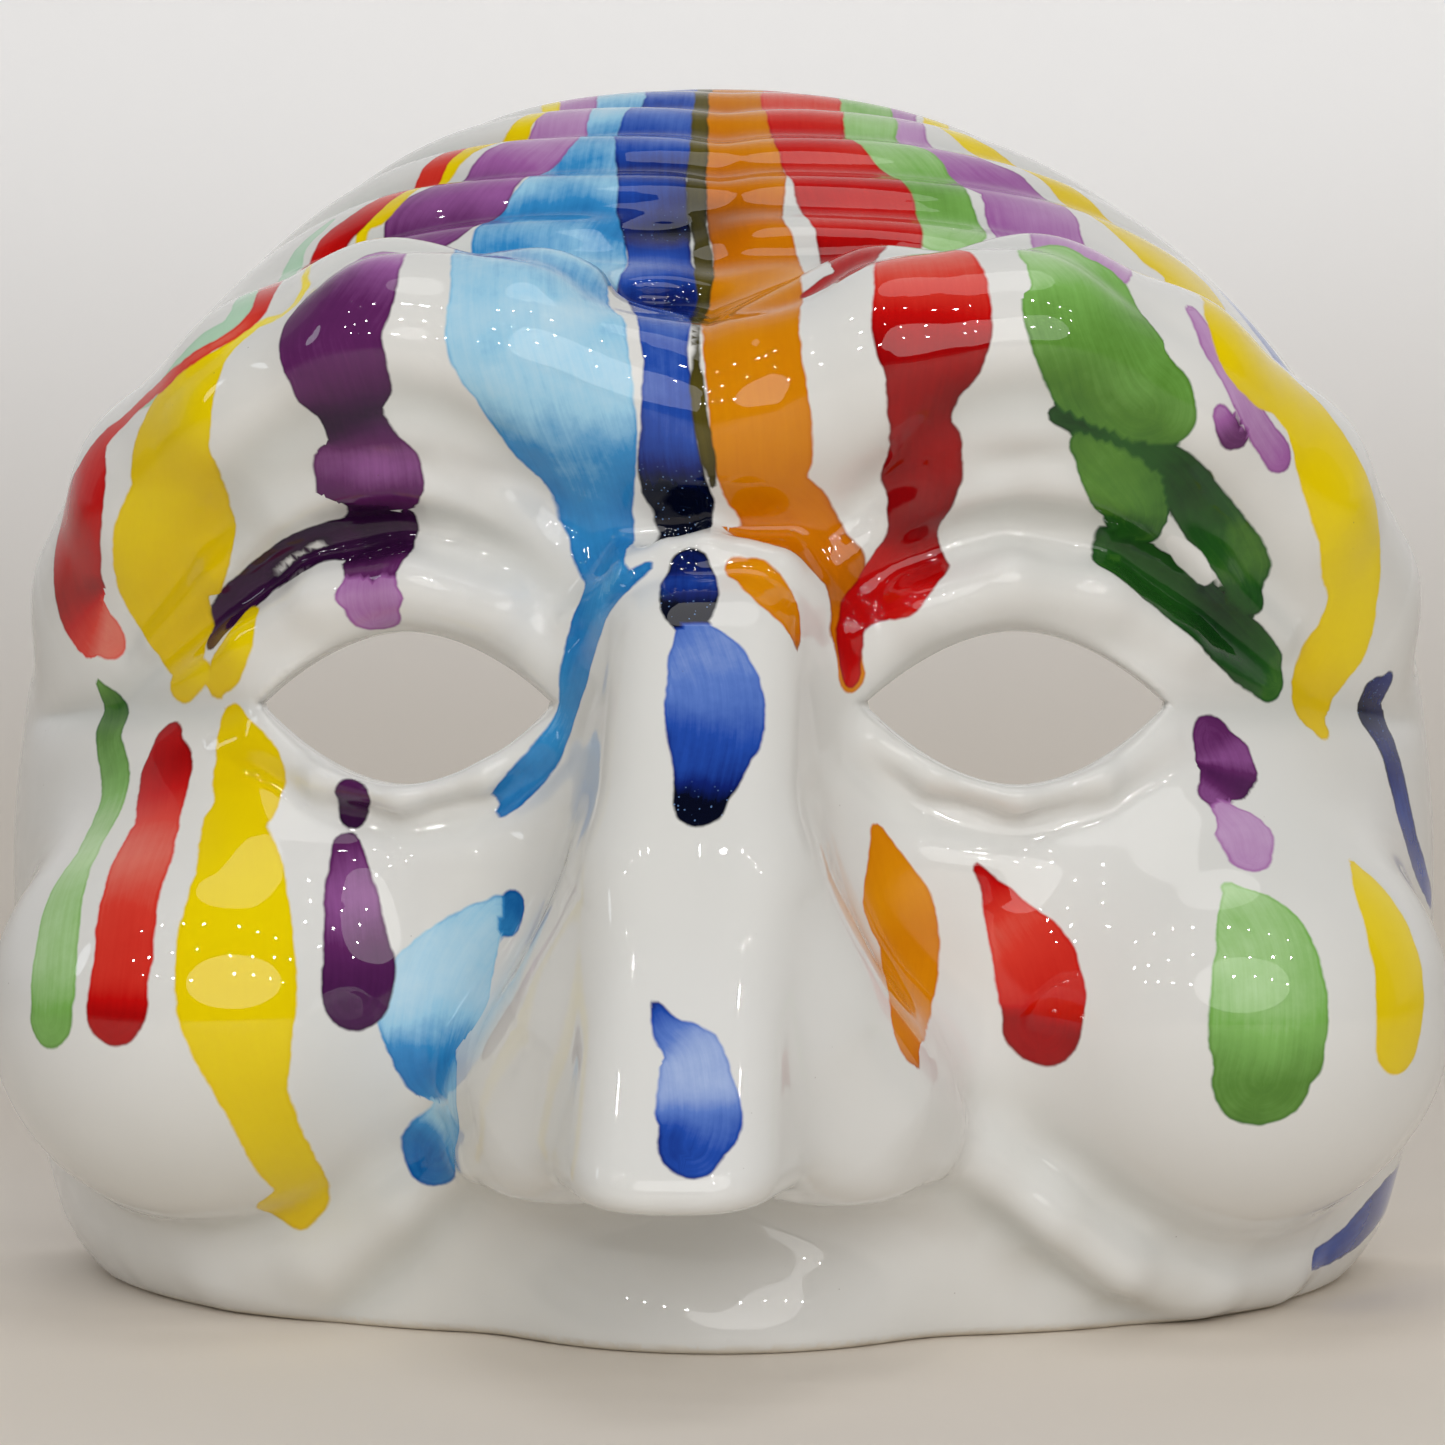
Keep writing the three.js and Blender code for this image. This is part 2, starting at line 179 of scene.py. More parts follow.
def face(p, lining=False):
    """The plain form before creases, dents and openings, or with lining only its large masses."""
    q = p.copy()
    q[:, 0] = np.abs(q[:, 0])
    f = dome(p)
    f = join(f, chain(q, BROW), 7.0)
    f = join(f, ellipsoid(p, *GLABELLA), 4.0)
    f = join(f, ellipsoid(q, *CHEEK), 9.0)
    f = cut(f, -ellipsoid(q, *SOCKET), 7.0)
    if lining:
        return join(join(f, nose(p), 8.0), ellipsoid(p, *LIP), 8.0)
    f = join(f, chain(q, OVER_LID), 2.5)
    f = join(f, chain(q, UPPER_LID), 2.0)
    f = join(f, chain(q, LOWER_LID), 2.0)
    f = join(f, nose(p), 8.0)
    f = join(f, chain(p, NASION), 2.5)
    f = join(f, cut(chain(q, WING, 5.0), -q[:, 2] - NOSE["under"] - 2.5, 3.0), 9.0)
    f = join(f, ellipsoid(p, *LIP), 8.0)
    f = join(f, chain(p, RIGHT_FOLD), 5.0)
    return join(f, chain(p, LEFT_FOLD), 5.0)


def eye(p):
    """Positive inside the two almond openings."""
    middle = 0.5 * (EYE["inner"] + EYE["outer"])
    t = np.abs((np.abs(p[:, 0]) - middle) / (EYE["outer"] - middle))
    arch = 1 - t ** EYE["bend"]
    upper = EYE["level"] + EYE["rise"] * arch - p[:, 2]
    lower = p[:, 2] - EYE["level"] + EYE["fall"] * arch
    return np.minimum(upper, lower) * 0.85


# ---------------------------------------------------------------- creases and dents
# Front curves run through x, z and depth of the crease, pitched ones through x, pitch in degrees and
# depth. Each row is (mirrored to the left too, kind, width, points).
FRONT, PITCHED = "front", "pitched"
LIFT_STEPS = 60  # enough for the lifted points to settle on the form
CREASES = [
    # between the rolls over the eye, from the brow down
    (True, FRONT, 2.2, [
        (14, 20, .6), (20, 27, 2.4), (27, 31.8, 3.6), (35, 33.4, 4), (44, 30.6, 4), (52.5, 24, 3.6),
        (60, 16.3, 2.6), (67, 8, .8),
    ]),
    (True, FRONT, 1.3, [
        (15, 15.6, .3), (22, 22, .8), (32.6, 27.6, 1.1), (43.2, 26, 1.1), (52.2, 20, .8),
        (60, 12, .2),
    ]),
    (True, FRONT, 1.8, [
        (14, 10, 1.4), (16, 13.9, 2.2), (22, 18.2, 3.2), (32.6, 21.4, 3.6), (44, 19.6, 3.6),
        (53, 13.6, 3.4), (61, 7.6, 2.8), (68, 3, 1.2),
    ]),
    # over the brow
    (True, FRONT, 2.0, [
        (0, 44.5, .8), (5, 44.8, 1.4), (10, 46.2, 2), (16, 50, 2.4), (24, 51.8, 2.6),
        (33, 52.2, 2.6), (39, 50.5, 2), (46, 45, 1.2), (53, 40.5, .8), (60, 35, .3),
    ]),
    # forehead furrows, each further over the crown
    (True, PITCHED, 1.8, [(0, 46.5, 3.4), (11, 47, 3.2), (20, 48, 2.4), (30, 49, 1.2), (36, 50, .2)]),
    (True, PITCHED, 1.8, [(0, 53.5, 3), (12, 53.5, 3.2), (24, 54.5, 3.2), (38, 56, 2.4), (52, 58, .6)]),
    (True, PITCHED, 1.8, [(0, 59.5, 3), (15, 60.5, 3.2), (30, 63, 3), (42, 67, 2.4), (54, 71, .6)]),
    (True, PITCHED, 1.8, [(0, 66.5, 2.8), (15, 68, 2.9), (30, 71, 2.8), (42, 76, 2), (52, 80, .4)]),
    (True, PITCHED, 1.8, [(0, 74, 2.4), (15, 76, 2.5), (30, 80, 1.9), (42, 86, .3)]),
    (True, PITCHED, 1.8, [(0, 82, 1.3), (15, 84, 1.3), (28, 88, .3)]),
    # under the flat between the brows
    (False, FRONT, 1.5, [
        (-15, 12, .5), (-10.8, 17.6, 1.6), (-4.5, 21, 2.4), (1.7, 21.5, 2.4), (9, 19.8, 2.2),
        (15.3, 12.8, .8),
    ]),
    # under the lower lid, and out from the eye's outer corner
    (True, FRONT, 1.6, [
        (15, -4, .4), (20, -8, 1), (27, -10.8, 1.3), (34, -11.6, 1.3), (42, -10, 1.2), (49, -6, .9),
        (56, -3, .3),
    ]),
    (True, FRONT, 2.0, [
        (51, 2, 1.4), (56, 1.6, 2.6), (63, 1.8, 3), (70, 1.6, 2.6), (77, 1, 1.8), (83, 0, .4),
    ]),
    # below each cheek and from each nostril, not quite alike
    (False, FRONT, 2.2, [
        (27, -38, .5), (31, -42.5, 1.4), (38, -47.5, 2.4), (45, -53, 2.8), (52, -57.5, 2.4),
        (60, -60, 1.6), (68, -60, .6),
    ]),
    (False, FRONT, 2.0, [
        (22, -49.5, 1.2), (27, -51.5, 2.8), (32.5, -56, 3.4), (39, -61.5, 3.2), (47, -66.5, 2),
    ]),
    (False, FRONT, 2.2, [
        (-24, -41, .5), (-29, -44.5, 1.8), (-35.4, -49, 2.6), (-45, -55, 2.8), (-57, -57, 2),
        (-68, -56.5, 1), (-76, -53, .3),
    ]),
    (False, FRONT, 2.0, [
        (-22, -49.5, 1), (-27, -53, 2.4), (-33, -59, 2.8), (-40, -65, 2.2), (-46, -69, 1),
    ]),
]
# x, z, half width, half height and depth of the thumbed dents between the forehead rolls
DENTS = [(-6.2, 55.6, 6.5, 2.2, 2.4), (-6.2, 46.4, 6.5, 2.2, 2.4)]


def smooth_curve(points, pieces=4):
    """Catmull-Rom curve through rows of any length."""
    p = np.asarray(points, float)
    q = np.vstack([2 * p[0] - p[1], p, 2 * p[-1] - p[-2]])
    out = []
    for a, b, c, e in zip(q[:-3], q[1:-2], q[2:-1], q[3:]):
        for t in np.arange(pieces) / pieces:
            bend = (2 * a - 5 * b + 4 * c - e) * t * t
            twist = (3 * b - a - 3 * c + e) * t**3
            out.append(0.5 * (2 * b + (c - a) * t + bend + twist))
    out.append(p[-1])
    return np.array(out)


def lift(kind, a, b):
    """Points on the plain face seen from the front at x, z, or seen from the X axis at x, pitch."""
    if kind == FRONT:
        ray = np.array([[0.0, 1.0, 0.0]] * len(a))
        start = np.stack([a, 0 * a, b], -1)
        reach = np.full(len(a), 120.0)
    else:
        turn = np.radians(b)
        ray = np.stack([0 * a, np.cos(turn), np.sin(turn)], -1)
        start = np.stack([a, 0 * a, 0 * a], -1)
        reach = np.full(len(a), 110.0)
    for _ in range(LIFT_STEPS):
        reach = reach - 0.8 * face(start + ray * reach[:, None])
    return start + ray * reach[:, None]


def lifted_paths(rows):
    """(points, remaining columns, width) of each curve, with the mirrored ones on both sides."""
    paths = []
    for mirrored, kind, width, points in rows:
        c = smooth_curve(points)
        p = lift(kind, c[:, 0], c[:, 1])
        paths.append((p, c[:, 2:], width))
        if mirrored:
            paths.append((p * [-1, 1, 1], c[:, 2:], width))
    return paths


def nearest_on(path, columns, points):
    """Distance to a path, its columns there, the way along it, and the side it is passed on."""
    best = np.full(len(points), 1e9)
    found = np.zeros((len(points), columns.shape[1]))
    along = np.zeros(len(points))
    side = np.zeros(len(points))
    run = 0.0
    for i in range(len(path) - 1):
        a, u = path[i], path[i + 1] - path[i]
        length = math.sqrt(u @ u) + 1e-9
        t = np.clip((points - a) @ u / length**2, 0, 1)
        off = points - a - t[:, None] * u
        dist = np.linalg.norm(off, axis=1)
        better = dist < best
        best[better] = dist[better]
        found[better] = (columns[i] + t[:, None] * (columns[i + 1] - columns[i]))[better]
        along[better] = (run + t * length)[better]
        across = np.cross(u, (0, 1, 0.35))
        side[better] = np.sign(off @ across)[better]
        run += length
    return best, found, along, side


PATHS = lifted_paths(CREASES)


def hollow_at(p):
    """How far the creases and dents push the surface in."""
    total = np.zeros(len(p))
    for path, columns, width in PATHS:
        reach = 5 * width
        near = np.where(((p > path.min(0) - reach) & (p < path.max(0) + reach)).all(1))[0]
        if len(near):
            dist, found, _, _ = nearest_on(path, columns, p[near])
            total[near] += found[:, 0] * np.exp(-(np.sqrt(dist**2 + 0.25) - 0.5) / width)
    for x, z, half, high, deep in DENTS:
        bell = np.exp(-(((p[:, 0] - x) / half) ** 2) - ((p[:, 2] - z) / high) ** 2)
        total += deep * bell * (p[:, 1] > 20)
    return DEEPEST * np.tanh(total / DEEPEST)


def shell_field(p):
    """Negative inside the glazed clay."""
    plain = face(p)
    f = plain * 1.0
    near = (plain > -WALL - 0.5) & (plain < 1.5)
    f[near] += hollow_at(p[near])
    f = cut(f, eye(p), EDGE)
    f = cut(f, -face(p, lining=True) - WALL, 1.0)
    f = cut(f, -p[:, 1], RIM)
    round_foot = RIM + FOOT_CORNER * ease(np.abs(p[:, 0]), 40, 78) * ease(plain, -WALL, 0)
    return cut(f, SOLE_Z - p[:, 2], round_foot)


# ---------------------------------------------------------------- drawing a field as a mesh
def gradient(field, p, reach=0.15, here=None):
    """Slope of a field, from both sides, or in front only where its value here is given."""
    steps = np.eye(3) * reach
    if here is not None:
        return np.stack([field(p + s) - here for s in steps], -1) / reach
    return np.stack([field(p + s) - field(p - s) for s in steps], -1) / (2 * reach)


def draw_field(field, low, high, cell, band, rounds=2):
    """Points and quads of the zero surface of a field, one point per grid cell that it crosses."""
    counts = [int(math.ceil((b - a) / cell / 4)) * 4 for a, b in zip(low, high)]
    low = np.array(low, float)
    coarse = [low[i] + cell * (4 * np.arange(counts[i] // 4) + 1.5) for i in range(3)]
    middle = np.stack(np.meshgrid(*coarse, indexing="ij"), -1)
    rough = field(middle.reshape(-1, 3)).reshape(middle.shape[:3])
    big = np.repeat(np.repeat(np.repeat(rough, 4, 0), 4, 1), 4, 2)
    values = np.where(big < 0, -9.0, 9.0).astype(np.float32)
    todo = np.argwhere(np.abs(big) < band)
    found = np.empty(len(todo), np.float32)
    for i in range(0, len(todo), 400000):
        found[i : i + 400000] = field(low + cell * todo[i : i + 400000])
    values[tuple(todo.T)] = found
    inside = values < 0
    corners = [(i, j, k) for i in (0, 1) for j in (0, 1) for k in (0, 1)]
    span = lambda n, c: slice(c, n - 1 + c)
    at_corner = (inside[tuple(span(n, c) for n, c in zip(counts, corner))] for corner in corners)
    count = sum(part_inside.astype(np.int8) for part_inside in at_corner)
    cells = np.argwhere((count > 0) & (count < 8))
    number = np.full(count.shape, -1, np.int32)
    number[tuple(cells.T)] = np.arange(len(cells))
    at = {c: values[tuple((cells + c).T)].astype(float) for c in corners}
    total = np.zeros((len(cells), 3))
    hits = np.zeros(len(cells))
    for a in corners:
        for axis in range(3):
            if a[axis]:
                continue
            b = tuple(1 if i == axis else v for i, v in enumerate(a))
            crossed = (at[a] < 0) != (at[b] < 0)
            t = np.where(crossed, at[a] / np.where(crossed, at[a] - at[b], 1), 0)
            spot = np.array(a, float) + np.outer(t, np.eye(3)[axis])
            total[crossed] += spot[crossed]
            hits[crossed] += 1
    points = low + cell * (cells + total / hits[:, None])
    quads = []
    for axis in range(3):
        u, v = (axis + 1) % 3, (axis + 2) % 3
        step = np.eye(3, dtype=int)
        head = inside[tuple(slice(0, -1) if i == axis else slice(None) for i in range(3))]
        tail = inside[tuple(slice(1, None) if i == axis else slice(None) for i in range(3))]
        edges = np.argwhere(head != tail)
        across = edges[:, [u, v]]
        edges = edges[((across > 0) & (across < np.array(counts)[[u, v]] - 1)).all(1)]
        around = (step[u] + step[v], step[v], 0 * step[u], step[u])
        ring = [number[tuple((edges - s).T)] for s in around]
        flip = ~head[tuple(edges.T)]
        quad = np.stack(ring, -1)
        quad[flip] = quad[flip][:, ::-1]
        quads.append(quad[(quad >= 0).all(1)])
    quads = np.vstack(quads)
    pairs = np.vstack([quads[:, [0, 1]], quads[:, [1, 2]], quads[:, [2, 3]], quads[:, [3, 0]]])
    degree = sum(np.bincount(pairs[:, end], minlength=len(points)) for end in (0, 1))
    for _ in range(rounds):
        mean = np.zeros_like(points)
        for axis in range(3):
            mean[:, axis] = np.bincount(pairs[:, 0], points[pairs[:, 1], axis], len(points))
            mean[:, axis] += np.bincount(pairs[:, 1], points[pairs[:, 0], axis], len(points))
        points = 0.4 * points + 0.6 * mean / degree[:, None]
    for _ in range(2):
        here = field(points)
        slope = gradient(field, points, here=here)
        step_back = np.clip(here / np.maximum((slope**2).sum(1), 0.2), -0.8, 0.8)
        points = points - slope * step_back[:, None]
    slope = gradient(field, points)
    normals = slope / np.maximum(np.linalg.norm(slope, axis=1), 1e-6)[:, None]
    return points, quads, normals


def part(p):
    """Face coordinates in millimetres to the CAD frame in metres."""
    return np.stack([p[:, 0], BACK_Y - p[:, 1], p[:, 2] - SOLE_Z + SHELL_LOW.z * 1000], -1) / 1000


def mesh_object(name, points, quads, normals):
    mesh = bpy.data.meshes.new(name)
    mesh.from_pydata(part(points).tolist(), [], quads[:, ::-1].tolist())
    mesh.polygons.foreach_set("use_smooth", [True] * len(mesh.polygons))
    turned = normals * [1, -1, 1]
    mesh.normals_split_custom_set_from_vertices(turned.tolist())
    obj = bpy.data.objects.new(name, mesh)
    bpy.context.scene.collection.objects.link(obj)
    return obj


# ---------------------------------------------------------------- brush marks
# Each mark is a curve of (a, b, half width, load of colour), a and b as for the creases. Most rows are
# the rounded output of a program that projected points on to the form.
MARKS = {
    "mint": [
        (PITCHED, [
            (-46.6, 63, .8, .3), (-50.8, 58, 1.4, .4), (-50.8, 36.5, 1.8, .4),
            (-55, 33.5, 1.8, .4), (-60, 32, 1.4, .4), (-64.4, 32.5, .8, .3),
        ]),
    ],
    "sky": [
        (PITCHED, [
            (-12.6, 88, 4, .25), (-13.8, 74, 4.2, .2), (-15.6, 66, 4.8, .3), (-16.2, 62, 5.4, .3),
            (-16.8, 57, 6.4, .3), (-17.8, 53, 8.4, .45), (-19.2, 48, 9.2, .3),
            (-18, 33, 9, .3), (-17.8, 30.5, 9.6, .2), (-17.2, 28, 9.8, .3),
            (-16.2, 26, 9, .25), (-15, 23.5, 8, .3), (-13.8, 21.5, 7.2, .45),
            (-12.4, 19.5, 5.2, .6), (-11.4, 16.5, 3.6, .6), (-11.4, 12.5, 3.6, .5),
            (-12.2, 9.5, 2.6, .6), (-13.4, 6, 2.8, .65),
        ]),
        (FRONT, [
            (-13.4, 7.5, 2.8, .65), (-14.2, 3.5, 2.6, .65), (-15.4, -.5, 2, .6),
            (-17.8, -4, 1.8, .7), (-20.6, -7, 1.6, .7), (-22.2, -9, 1, .7),
        ]),
        (FRONT, [
            (-11.2, 12.5, 2, .6), (-8.6, 14.5, 1.2, .7), (-5.8, 16.5, .6, .7),
        ]),
        (FRONT, [
            (-20.6, -19.5, 1.8, .8), (-21.2, -21, 2, .75),
        ]),
        (FRONT, [
            (-22.2, -20, 1.8, .35), (-24.6, -22.5, 3.4, .3), (-26.8, -26, 5.6, .2),
            (-28, -29.5, 7.2, .2), (-28.6, -33.5, 6.8, .45), (-28.8, -37, 4.6, .75),
            (-27.4, -39.5, 3.6, .3), (-28.6, -43.5, 3.6, .2), (-30.2, -46.5, 4, .7),
        ]),
    ],
    "purple": [
        (PITCHED, [
            (-18.6, 88, 2.4, .1), (-19, 76, 3, .05),
            (-21, 66, 4.4, .05), (-24.8, 63, 4.8, .2), (-29.6, 58, 6, .3),
            (-33.8, 55, 6.8, .35),
        ]),
        (PITCHED, [
            (-35.2, 36.5, 3.2, .15), (-37.6, 32.5, 5.4, .45), (-40.2, 29.5, 6.6, .5),
            (-39.4, 27, 6, .5), (-38.8, 25, 6, .55), (-38.2, 23.5, 4, .85),
            (-37.2, 22.5, 4.4, .6), (-36.8, 21.5, 6.2, .35), (-36.6, 19.5, 6.4, .5),
            (-36.4, 18.5, 4.6, .5), (-36.8, 18, 2.4, .85), (-36, 16.5, 4.4, .8),
            (-36.2, 14, 3.8, .45), (-36.2, 13, 3.2, .5),
        ]),
        (PITCHED, [
            (-36.4, 12.5, 3.6, .15), (-36.4, 11.5, 4.4, .15), (-36.2, 10.5, 3.4, .2),
        ]),
        (FRONT, [
            (-35, 19, 2.2, .8), (-41.2, 19.5, 1.2, .8), (-45.6, 18, 1.2, .8),
            (-50, 15.5, 1.2, .8), (-53.6, 12.5, 1.6, .8), (-56, 10, 1.8, .75),
        ]),
        (FRONT, [
            (-38.4, -8, 2.2, .6), (-38.6, -9.5, 1.8, .8),
        ]),
        (FRONT, [
            (-39.2, -13, 1.6, .5), (-38.6, -16, 2.4, .4), (-38.2, -19, 3, .35),
            (-37.6, -23.5, 3.6, .5), (-37.2, -26.5, 4.2, .65), (-37.4, -29, 4, .7),
        ]),
        (FRONT, [
            (55.2, -2, 3, .45), (56, -4, 4.2, .35), (55.8, -6, 3.4, .65),
            (54.4, -7.5, 1.8, .4),
        ]),
        (FRONT, [
            (55.6, -9.5, 1.6, .1), (57.2, -11.5, 3.4, .05), (57.6, -14, 2.6, .1),
        ]),
        (PITCHED, [
            (20.8, 88, 2.6, .1), (21.2, 76, 2.6, .05),
            (22.8, 68, 3.4, .05), (30.2, 64, 5.2, .15), (36, 60, 6.2, .15),
            (40.4, 38, 6, .05),
        ]),
        (PITCHED, [
            (52, 35.5, .8, .05), (54.6, 32, 1.8, .1), (57, 29.5, 2.2, .1),
            (58.8, 27.5, 2.2, .15), (61.6, 26, 2.2, .25),
        ]),
        (PITCHED, [
            (54.8, 26.5, 1.2, .2), (56, 25.5, 1.8, .45), (57.2, 25.5, 1.2, .5),
        ]),
    ],
    "green": [
        (FRONT, [
            (-71.6, 4.5, .6, .4), (-70.2, 1, 2.6, .5), (-69.2, -2.5, 2.2, .4),
            (-67.4, -6, 2.4, .35), (-67.2, -9, 2.4, .3), (-68.2, -14, 2, .05),
            (-69.6, -18, 3, .1), (-69.8, -22.5, 3.4, .15), (-69.8, -27.5, 3.6, .2),
            (-70, -31.5, 3.4, .4),
        ]),
        (PITCHED, [
            (15, 88, 3.6, .1), (16.8, 78, 3.8, .1), (17.6, 67, 4, .15), (23, 62, 4.6, .1),
            (24.8, 58, 4.4, .35),
            (26, 53, 5.2, .1),
        ]),
        (PITCHED, [
            (37.4, 36, 4.6, .1), (40, 33.5, 7.2, .25), (41, 30.5, 8, .4),
            (42.4, 28.5, 8, .4), (44.2, 26.5, 7.6, .4), (46.4, 25.5, 6.2, .45),
        ]),
        (PITCHED, [
            (40.4, 22.5, 1.8, .5), (43.6, 21, 3.8, .45), (46.2, 19, 4.6, .5),
            (46, 17.5, 3.8, .6),
        ]),
        (PITCHED, [
            (37.2, 23.5, 1.2, .7), (41, 23.5, 2, .75), (46, 23, 2.4, .65),
            (51, 21.5, 2.8, .7), (55.4, 19, 3.2, .7), (58.8, 16, 3.6, .6),
            (59.4, 14, 3.2, .7),
        ]),
        (FRONT, [
            (42.6, 18.5, 1.4, .7), (47.6, 15.5, 2.6, .75), (53.2, 12, 3.2, .8),
            (58.4, 8, 3.6, .75), (62.4, 5, 2.8, .6),
        ]),
        (FRONT, [
            (55, -17.5, 1, .05), (56.8, -20, 4, .15), (58.4, -23.5, 5.6, .15),
            (58.8, -28.5, 6.4, .25), (58.6, -34, 6.4, .4), (58, -37, 5.4, .5),
        ]),
    ],
    "white": [
        (FRONT, [
            (50.8, 18.5, 1.4, 0), (52.4, 17, 2.2, 0), (53.8, 15, 1.4, 0),
        ]),
    ],
    "yellow": [
        (PITCHED, [
            (-22.6, 88, 1.4, .2), (-22.2, 76, 1.2, .1), (-26.8, 69, 1.8, .4), (-30.6, 67, 1.8, .4),
            (-34.4, 64, 1.2, .25), (-39.2, 59, 1.4, .4), (-43, 56, .8, .2),
            (-43.8, 35.5, .6, .05), (-49, 33.5, .6, .05), (-52.2, 32, 1, .2),
            (-54.4, 30.5, 2.6, .35), (-57, 28.5, 5, .35), (-59, 26.5, 6.6, .5),
            (-59.2, 24, 6.6, .55), (-59, 22, 6.4, .45), (-60, 18.5, 7.8, .45),
            (-61.6, 14.5, 7, .5), (-60.8, 10.5, 5.2, .5), (-59.6, 7.5, 3.2, .45),
        ]),
        (FRONT, [
            (-57.2, 5.5, 1.6, .4), (-60.2, 4.5, 2.4, .45),
        ]),
        (FRONT, [
            (-51.4, 12, 1.6, .3), (-52.2, 9, 2.2, .35), (-53.8, 6, 2.4, .5),
            (-55.4, 4, 1.4, .5),
        ]),
        (FRONT, [
            (-53.4, .5, 1.8, .4), (-52.6, -1.5, 3, .4), (-50.8, -5, 4.4, .45),
            (-50.6, -8.5, 3.8, .4), (-51.4, -11.5, 3.8, .4), (-50, -16, 4.8, .35),
            (-49.6, -21, 6, .35), (-49.4, -25, 6.4, .4), (-49, -30, 6.4, .4),
            (-48.2, -35.5, 5, .4), (-47.6, -39, 3.8, .45), (-46.8, -42, 3.4, .45),
            (-45.4, -47, 3.2, .45), (-44.2, -51, 3, .45), (-46.4, -53.5, 3.2, .5),
        ]),
        (PITCHED, [
            (25.4, 88, 2, .3), (26.6, 76, 1.8, .2), (34.2, 72, 2.4, .4), (40.2, 70, 2.4, .4),
            (45.8, 66, 3.6, .4),
            (51, 63, 4.4, .4), (55.6, 61, 5, .4), (57.4, 35, 5, .4),
            (61.6, 33.5, 5.2, .4), (65, 32, 5.2, .4), (67.8, 28, 5.4, .4),
            (70.6, 24, 5.6, .35), (71.6, 21.5, 5.8, .35), (71.8, 17.5, 4.6, .35),
            (70.8, 11.5, 4.6, .4),
        ]),
        (FRONT, [
            (70.8, 9.5, 4.6, .4), (68.4, 5, 4, .5), (68.2, 1.5, 3.2, .5),
            (68.6, -.5, 1.6, .5),
        ]),
        (FRONT, [
            (69.2, -15, .6, .4), (70.6, -17.5, 2.6, .35), (72.6, -22, 4.2, .35),
            (73.6, -27.5, 4.4, .4), (73.2, -33.5, 3.8, .45),
        ]),
    ],
    "amber": [
        (PITCHED, [
            (1, 88, 4, .35), (1.4, 77, 4, .4), (2, 65, 4.8, .35), (3.2, 57, 4.8, .4),
            (3.2, 51, 4.4, .5),
            (4.6, 47, 4.8, .35), (4.6, 41, 5.8, .35), (4.8, 30, 5.4, .4),
            (5.4, 25.5, 5.2, .4), (6, 22.5, 5.4, .4), (6.2, 20, 5.2, .45),
            (7, 18.5, 4.6, .45), (10, 17, 4.2, .5), (13, 15, 3, .55), (15.2, 13, 2.6, .55),
            (15.4, 10, 2, .55),
        ]),
        (FRONT, [
            (15.4, 12.5, 2, .55), (15.2, 8.5, 1.6, .5), (15.4, 5, 2, .4),
        ]),
        (FRONT, [
            (3.6, 16, 1.6, .4), (5.6, 15, 2.6, .35), (8.2, 12.5, 2.8, .4),
            (9.6, 9.5, 1.4, .5), (9.8, 7.5, .4, .7),
        ]),
        (FRONT, [
            (18.2, -11.5, 1, .45), (19, -15, 2.6, .4), (19.8, -19, 4.4, .35),
            (21, -23, 4, .45), (21, -27, 4.4, .4), (21, -30.5, 3.6, .4),
            (21.6, -33.5, 2, .5), (22.2, -35, .6, .6),
        ]),
    ],
    "cobalt": [
        (PITCHED, [
            (-6.6, 88, 3.4, .3), (-6.8, 76, 3.6, .3), (-7.8, 67, 5, .25), (-7.8, 59, 4.2, .5),
            (-7.4, 54, 4.2, .45), (-6.8, 50, 4, .5), (-6.2, 46, 3.6, .25),
            (-5.6, 42, 4.8, .5), (-4.4, 32.5, 3.2, .35), (-4.2, 28.5, 2.6, .5),
            (-3.8, 24.5, 2.8, .55), (-3.8, 21.5, 3.2, .6), (-3.4, 19.5, 3.8, .95),
            (-2.6, 18, 3.6, 1),
        ]),
        (FRONT, [
            (-1.4, 16, 2.4, .85), (-1.4, 14.5, 3.2, .6), (-1.4, 12, 3, 1),
        ]),
        (FRONT, [
            (-1.2, 10, 1.4, .3), (0, 7.5, 3.6, .25), (1.4, 3.5, 5, .35), (1.6, -1, 5, .6),
            (1, -5, 3.6, .65), (.4, -8, 2.8, 1),
        ]),
        (FRONT, [
            (-3.6, -27, .4, .7), (-2.2, -29.5, 1.6, .35), (0, -31.5, 3, .1),
            (.8, -35, 4, .1), (1, -38, 4.2, .45), (.4, -40, 3.4, .6),
        ]),
        (PITCHED, [
            (60, 70, 1, .2), (65, 64, 2, .4), (70, 56, 2.4, .4), (74, 46, 2.2, .45),
            (77, 36, 1.4, .5),
        ]),
        (FRONT, [
            (77, 4.5, 1.6, .7), (75.8, 2, 3.2, .75), (77.2, -2.5, 2.6, .75),
            (78.8, -9, 2.6, .75), (80.8, -15, 2.4, .7), (84.2, -21, 1.4, .6),
        ]),
        (FRONT, [
            (81.2, -55.5, 2.8, .65), (76.6, -58, 3.6, .65), (72.2, -60.5, 2.6, .65),
            (68.8, -61.5, 1.6, .6),
        ]),
    ],
    "olive": [
        (PITCHED, [
            (-3.2, 87, .9, .5), (-3, 73, 1, .4), (-2.6, 65, 1, .4), (-2.6, 59, 1.2, .5),
            (-2.4, 54, 1.2, .55),
            (-1.6, 49, 1, .5), (-1.2, 45, 1.2, .45), (-1, 42, 1, .5), (-1, 33, .6, .7),
            (-1, 28.5, .6, .7), (-.6, 24.5, .8, .6), (-.2, 22.5, .8, .6),
            (.4, 20.5, .8, .7), (.8, 19, .6, .8),
        ]),
    ],
    "red": [
        (PITCHED, [
            (-29.2, 70, 1, .2), (-33.6, 67, 1.8, .3), (-38, 63, 1.8, .25),
            (-42.4, 60, 2.2, .55), (-46.8, 57, 2.4, .5), (-48.2, 44, 2, .45),
